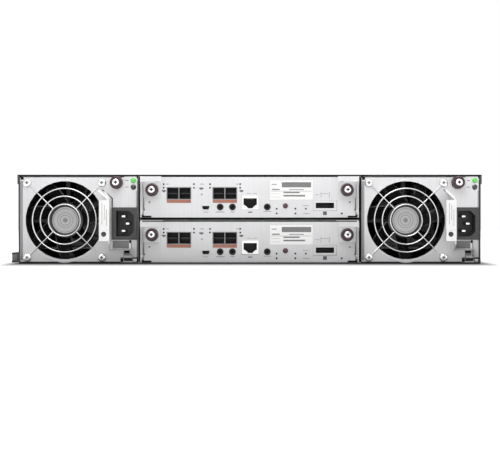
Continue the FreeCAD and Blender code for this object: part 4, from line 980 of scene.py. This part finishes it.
class SHELF_OT_network_ports(bpy.types.Operator):
    """Plated shells of the network, serial and expansion sockets, and the jack bushes"""

    bl_idname = "shelf.network_ports"
    bl_label = "Network ports"

    def execute(self, context):
        step = [(-5.75, 11.9), (-4.6, 11.9), (-3.4, 10.7), (-2.4, 10.2), (-1.6, 8.8), (2.8, 8.8),
                (3.6, 10.2), (4.6, 10.7), (5.8, 11.9), (6.95, 11.9), (6.95, 18.4), (-5.75, 18.4)]
        slot = rectangle(63.5, 80.9, 8.9, 14.1)
        narrow_foot = [(-44.6, 7.7), (-39.2, 7.7), (-38.2, 11.1), (-45.6, 11.1)]
        bush = [(2, -2), (2, 0.3), (2.3, 0.6), (2.9, 0.6), (3.1, 0.4), (3.1, 0), (3.1, -2), (2, -2)]
        pins = [(x, x + 0.45, 17.4, 17.9) for x in (-3.8 + 1.02 * number for number in range(8))]
        for level, face, body in controllers():
            network = rim_plate(face, (-7.45, 8.65, 7.6, 21, 0.4), step, 0.5, 0.15)
            dressed(network, f"network_shell_{level}", "nickel shell", body)
            frames = [rim_plate(face, outer, hole, 0.25, 0.08, 0.3) for outer, hole in
                      (((60.9, 83.4, 6.6, 16.4, 0.5), slot), ((-46.3, -37.5, 6.9, 11.7, 0.4), narrow_foot))]
            dressed(joined(frames), f"port_frames_{level}", "zinc sheet", body)
            bushes = [turned(bush, face.at(x, 10.1)) for x in (-28.2, -16.4, 16.9)]
            dressed(joined(bushes), f"jack_bushes_{level}", "port plastic", body)
            dressed(plates(face, pins, -11, -4), f"network_contacts_{level}", "shaded contact gold", body)
        return {"FINISHED"}


class SHELF_OT_controller_lights(bpy.types.Operator):
    """Small light dots and the domed identify button of the controllers"""

    bl_idname = "shelf.controller_lights"
    bl_label = "Controller lights"

    def execute(self, context):
        radius = context.scene.shelf_sizes.dot_radius / MM
        spots = [(x, z) for x in (-82.3, -53.3, -37.9, -9) for z in (32, 28.5)]
        spots += [(25.9, 8.4), (25.9, 3.9), (43.8, 8.4), (43.8, 3.9), (53.9, 8.4), (88.3, 3.9)]
        profile = [(0, 0.4), (radius * 0.6, 0.35), (radius * 0.95, 0.15), (radius, -0.2), (0, -0.2)]
        dome = [(0, 0.25), (1.2, 0.2), (2, 0), (2.35, -0.4), (2.35, -2), (3.2, -2.1), (3.2, -8), (0, -8)]
        for level, face, body in controllers():
            first = turned(profile, face.at(*spots[0]), OUT, 20)
            dots = [copied(first, face.at(*spot) - face.at(*spots[0])) for spot in spots[1:]]
            dressed(joined([first, *dots]), f"light_dots_{level}", "smoked lens", body, 60)
            button = f"id_button_{level}"
            cap = turned(dome, rear_middle(button))
            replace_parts(dressed(cap, f"identify_cap_{level}", "maroon cap", button, 50), button)
        return {"FINISHED"}


class SHELF_OT_controller_labels(bpy.types.Operator):
    """Bare label with plain bars, face marks and rivets of the controllers, with painted highlights along
    their side edges and painted shadows in their notches and slits
    """

    bl_idname = "shelf.controller_labels"
    bl_label = "Controller labels"

    def execute(self, context):
        slits = [[(edge * x, z) for x, z in ((101.9, 39), (102.5, 39), (101.5, 7.6), (100.9, 7.6))]
                 for edge in (-1, 1)]
        corners = mirrored(85, 86.4, 35, 37.6) + mirrored(87, 90, 34.2, 34.9)
        dome = [(0, 0.4), (0.5, 0.35), (0.8, 0.15), (0.9, 0), (0, 0)]
        for level, face, body in controllers():
            dress_plates(face, body, f"_{level}", LABEL_PLATES)
            thin = joined([plates(face, LABEL_LINES, 0.08, 0.15), plates(face, FACE_MARKS, 0, 0.05)])
            dressed(thin, f"face_marks_{level}", "grey ink", body)
            # Painted shadows: black plates in the bottom notches, the latch slits, the corners by the latch
            # tabs and along the top edge under the shelf.
            notches = [plates(face, mirrored(94, 103.4, 0.1, 1.7), 0, 0.1),
                       *(plate(face, slit, 0, 0.1) for slit in slits),
                       plates(face, mirrored(100.2, 101.4, 6.8, 8.2, 0.3), 0, 0.12),
                       plates(face, corners, -0.1, 0.06),
                       plates(face, [(-83, 83, 39.2, 40.2)], -0.4, 0.05)]
            dressed(joined(notches), f"corner_notch_shadows_{level}", "shaft black", body)
            rivets = [turned(dome, face.at(x, z), OUT, 24)
                      for x, z in ((-96, 14.7), (96, 14.7), (-45.8, 22.2))]
            dressed(joined(rivets), f"face_rivets_{level}", "shaded zinc", body, 60)
        return {"FINISHED"}


class SHELF_OT_chassis_screws(bpy.types.Operator):
    """Screws of the sides and the cover, its ribs, and painted shadows in the seams round the bays and at the
    cover's lip
    """

    bl_idname = "shelf.chassis_screws"
    bl_label = "Chassis screws"

    def execute(self, context):
        low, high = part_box("top_cover")
        rows = [low.y + (high.y - low.y) * share for share in (0.03, 0.27, 0.5, 0.73, 0.97)]
        inset, side_height = 7 * MM, 70.5 * MM
        places = [(Vector((x, y, high.z)), Vector((0, 0, 1)))
                  for y in rows for x in (low.x + inset, 0, high.x - inset)]
        self.screws("cover_screws", "plated screw", places, 2.8, 0.7)
        places = [(Vector((x, y, side_height)), Vector((way, 0, 0)))
                  for y in rows[:-1] for x, way in ((low.x, -1), (high.x, 1))]
        self.screws("side_screws", "dark screw", places, 1.4, 1)
        self.cover_ribs(high.z)
        tray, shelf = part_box("chassis_tray")[0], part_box("bay_partitions")[0]
        block = (tray.x / MM + 0.3, tray.x / MM + 5, 2.2, 10.2)
        lip = (low.x / MM + 0.2, high.x / MM - 0.2, high.z / MM - 1, high.z / MM - 0.1)
        for rear, *row in (
            (tray.y, "guide_block", "worn paint", -90, 0, 0.3, block),
            # Painted shade: the shelf edge in a darker zinc.
            (shelf.y, "shelf_edge", "dull zinc", -0.1, 0.15, 0.1, (-104.9, 104.9, 41.3, 42.1)),
            # Painted shadows: black strips in the seams round the bays and along the cover's lip.
            (shelf.y, "bay_seams", "shaft black", -0.1, 0.12, 0, (-104.5, 104.5, 40.6, 41.2),
             (-104.5, 104.5, 42.2, 43.2), (-104.5, 104.5, 83.45, 84.4), (-106.3, -104.9, 2, 83.2),
             (104.7, 106.7, 2, 83.2)),
            (low.y, "cover_lip", "shaft black", -0.1, 0.1, 0, lip),
        ):
            dress_plates(Face(0, rear, 0), "chassis", "", [row])
        return {"FINISHED"}

    def cover_ribs(self, top):
        """Shallow stiffening ribs along the cover, and the strip over the joint behind the drive bays."""
        ribs = []
        for left, right, back, front in ((-172, -166, -180, 60), (-62, -56, -180, 60), (56, 62, -120, 60),
                                         (166, 172, -120, 60), (-214, 214, 92, 106)):
            corners = ((left, back), (right, back), (right, front), (left, front))
            outline = [Vector((x * MM, y * MM, top - 0.2 * MM)) for x, y in corners]
            ribs.append(prism(outline, Vector((0, 0, 0.8 * MM)), 2))
        dressed(softened(joined(ribs), 0.3), "cover_ribs", "cover paint", "chassis")

    def screws(self, name, finish, places, radius, height):
        """One piece of low round heads with sockets, one at each place along its axis."""
        profile = [(0, height * 0.4), (radius * 0.35, height * 0.4), (radius * 0.45, height),
                   (radius * 0.7, height * 0.95), (radius * 0.95, height * 0.5), (radius, 0), (0, -0.1)]
        heads = [turned(profile, place, axis, 24) for place, axis in places]
        dressed(joined(heads), name, finish, "chassis", 50)


class SHELF_OT_carrier_fronts(bpy.types.Operator):
    """Lamp windows, grille slots and levers' buttons and ribs of the drive carriers"""

    bl_idname = "shelf.carrier_fronts"
    bl_label = "Carrier fronts"

    def execute(self, context):
        corners = {}
        for number in CARRIERS:
            low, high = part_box(f"drive_carrier_{number}")
            corners[number] = Vector((high.x, high.y, low.z))
        first = corners["01"]
        pieces = self.model(Face(*first, 1))
        for number, corner in corners.items():
            for name, finish, body, piece in pieces:
                dressed(copied(piece, corner - first), f"{name}_{number}", finish, f"{body}_{number}")
        for row in pieces:
            bpy.data.objects.remove(row[-1])
        return {"FINISHED"}

    def model(self, face):
        """One of each piece, on the first carrier; across is measured from the bezel's plain end."""
        front, lever = "drive_carrier", "carrier_lever"
        lit, dark = [plates(face, [(-6.9, -3.9, low, low + 2.2, 0.5)], -0.5, 0.35, 0.15)
                     for low in (17.6, 6.4)]
        slots = [(x, x + 1, 5.2, 21, 0.4) for x in (-14.8, -12.8, -10.8)]
        rim, rim_hole = (-8.1, -2.7, 4.6, 21.6, 0.8), rectangle(-7.5, -3.3, 5.2, 21)
        button = [(-24.6, -19.6, 9.8, 16.2, 0.8)]
        ribs = [(x, x + 0.9, 9.3, 16.7, 0.3) for x in (-35.2, -33.2, -31.2, -29.2)]
        band, band_hole = (-100.4, -38.6, 7.7, 18.2, 1.2), rectangle(-99.6, -39.4, 8.5, 17.4)
        return (
            ("bay_lamp", "green lens", front, lit),
            ("bay_fault_lamp", "amber lens", front, dark),
            ("bay_slots", "grille black", front, plates(face, slots, 0, 0.08)),
            ("bay_rim", "lever plastic", front, rim_plate(face, rim, rim_hole, 0.3, 0.1, 0.6)),
            ("lever_button", "maroon cap", lever, plates(face, button, -0.5, 0.6, 0.25)),
            ("lever_ribs", "lever plastic", lever, plates(face, ribs, 0, 0.5, 0.15)),
            ("lever_band", "lever plastic", lever, rim_plate(face, band, band_hole, 0.3, 0.1, 1)),
        )


class SHELF_OT_studio(bpy.types.Operator):
    """White floor, soft lamps, world and the camera"""

    bl_idname = "shelf.studio"
    bl_label = "Studio"

    def execute(self, context):
        sizes = context.scene.shelf_sizes
        leave_edit()
        studio_floor()
        bpy.ops.mesh.primitive_plane_add(size=24.0, location=(0, 0, -0.05 * MM))
        floor = context.object
        floor.name = "floor"
        floor.data.materials.append(bpy.data.materials["studio floor"])
        middle = (CAD_BOX[0] + CAD_BOX[1]) / 2
        for name, place, size, power in (
            ("key lamp", (-0.7, -1.7, 2.0), 1.2, 9.0),
            ("fill lamp", (1.6, -1.5, 0.9), 1.2, 3.0),
            ("brow lamp", (0.0, -0.58, 0.5), 0.4, 1.9),
            ("front lamp", (0.5, 2.1, 1.8), 1.6, 15.0),
            ("top lamp", (0.0, 0.1, 2.4), 1.6, 10.0),
        ):
            bpy.ops.object.light_add(type="AREA", location=place)
            lamp = context.object
            lamp.name = name
            lamp.data.size = size
            lamp.data.energy = power
            lamp.rotation_euler = (middle - Vector(place)).to_track_quat("-Z", "Y").to_euler()
        world = bpy.data.worlds.new("studio")
        context.scene.world = world
        world.use_nodes = True
        background = world.node_tree.nodes["Background"]
        background.inputs["Color"].default_value = WHITE
        plug(background.inputs["Strength"], seen_directly(world.node_tree) * 0.65 + 0.35)
        place = (0.4 * MM, REAR - sizes.camera_distance, sizes.camera_height)
        bpy.ops.object.camera_add(location=place, rotation=(pi / 2, 0, 0))
        camera = context.object
        camera.data.lens = sizes.camera_lens
        camera.data.sensor_width = 36.0
        context.scene.camera = camera
        context.scene.view_settings.view_transform = "Standard"
        return {"FINISHED"}


OPERATORS = (
    SHELF_OT_finishes,
    SHELF_OT_studio,
    SHELF_OT_fan_guards,
    SHELF_OT_fan_rotors,
    SHELF_OT_thumbscrews,
    SHELF_OT_module_faces,
    SHELF_OT_release_levers,
    SHELF_OT_mains_inlets,
    SHELF_OT_host_ports,
    SHELF_OT_network_ports,
    SHELF_OT_controller_lights,
    SHELF_OT_controller_labels,
    SHELF_OT_chassis_screws,
    SHELF_OT_carrier_fronts,
)


class SHELF_PT_panel(bpy.types.Panel):
    """Lists the shelf's pieces, sizes and colours"""

    bl_idname = "SHELF_PT_panel"
    bl_label = "Disk shelf"
    bl_space_type = "VIEW_3D"
    bl_region_type = "UI"
    bl_category = "Shelf"

    def draw(self, context):
        for group in (context.scene.shelf_sizes, context.scene.shelf_colours):
            for name in group.__annotations__:
                self.layout.prop(group, name)
        for operator in OPERATORS:
            self.layout.operator(operator.bl_idname)


CLASSES = (ShelfSizes, ShelfColours, *OPERATORS, SHELF_PT_panel)


def register():
    for entry in CLASSES:
        bpy.utils.register_class(entry)
    bpy.types.Scene.shelf_sizes = bpy.props.PointerProperty(type=ShelfSizes)
    bpy.types.Scene.shelf_colours = bpy.props.PointerProperty(type=ShelfColours)


def unregister():
    del bpy.types.Scene.shelf_colours
    del bpy.types.Scene.shelf_sizes
    for entry in reversed(CLASSES):
        bpy.utils.unregister_class(entry)


def main():
    """Dresses the shelf piece by piece."""
    register()
    for operator in OPERATORS:
        group, name = operator.bl_idname.split(".")
        getattr(getattr(bpy.ops, group), name)()


if __name__ == "__main__":
    main()
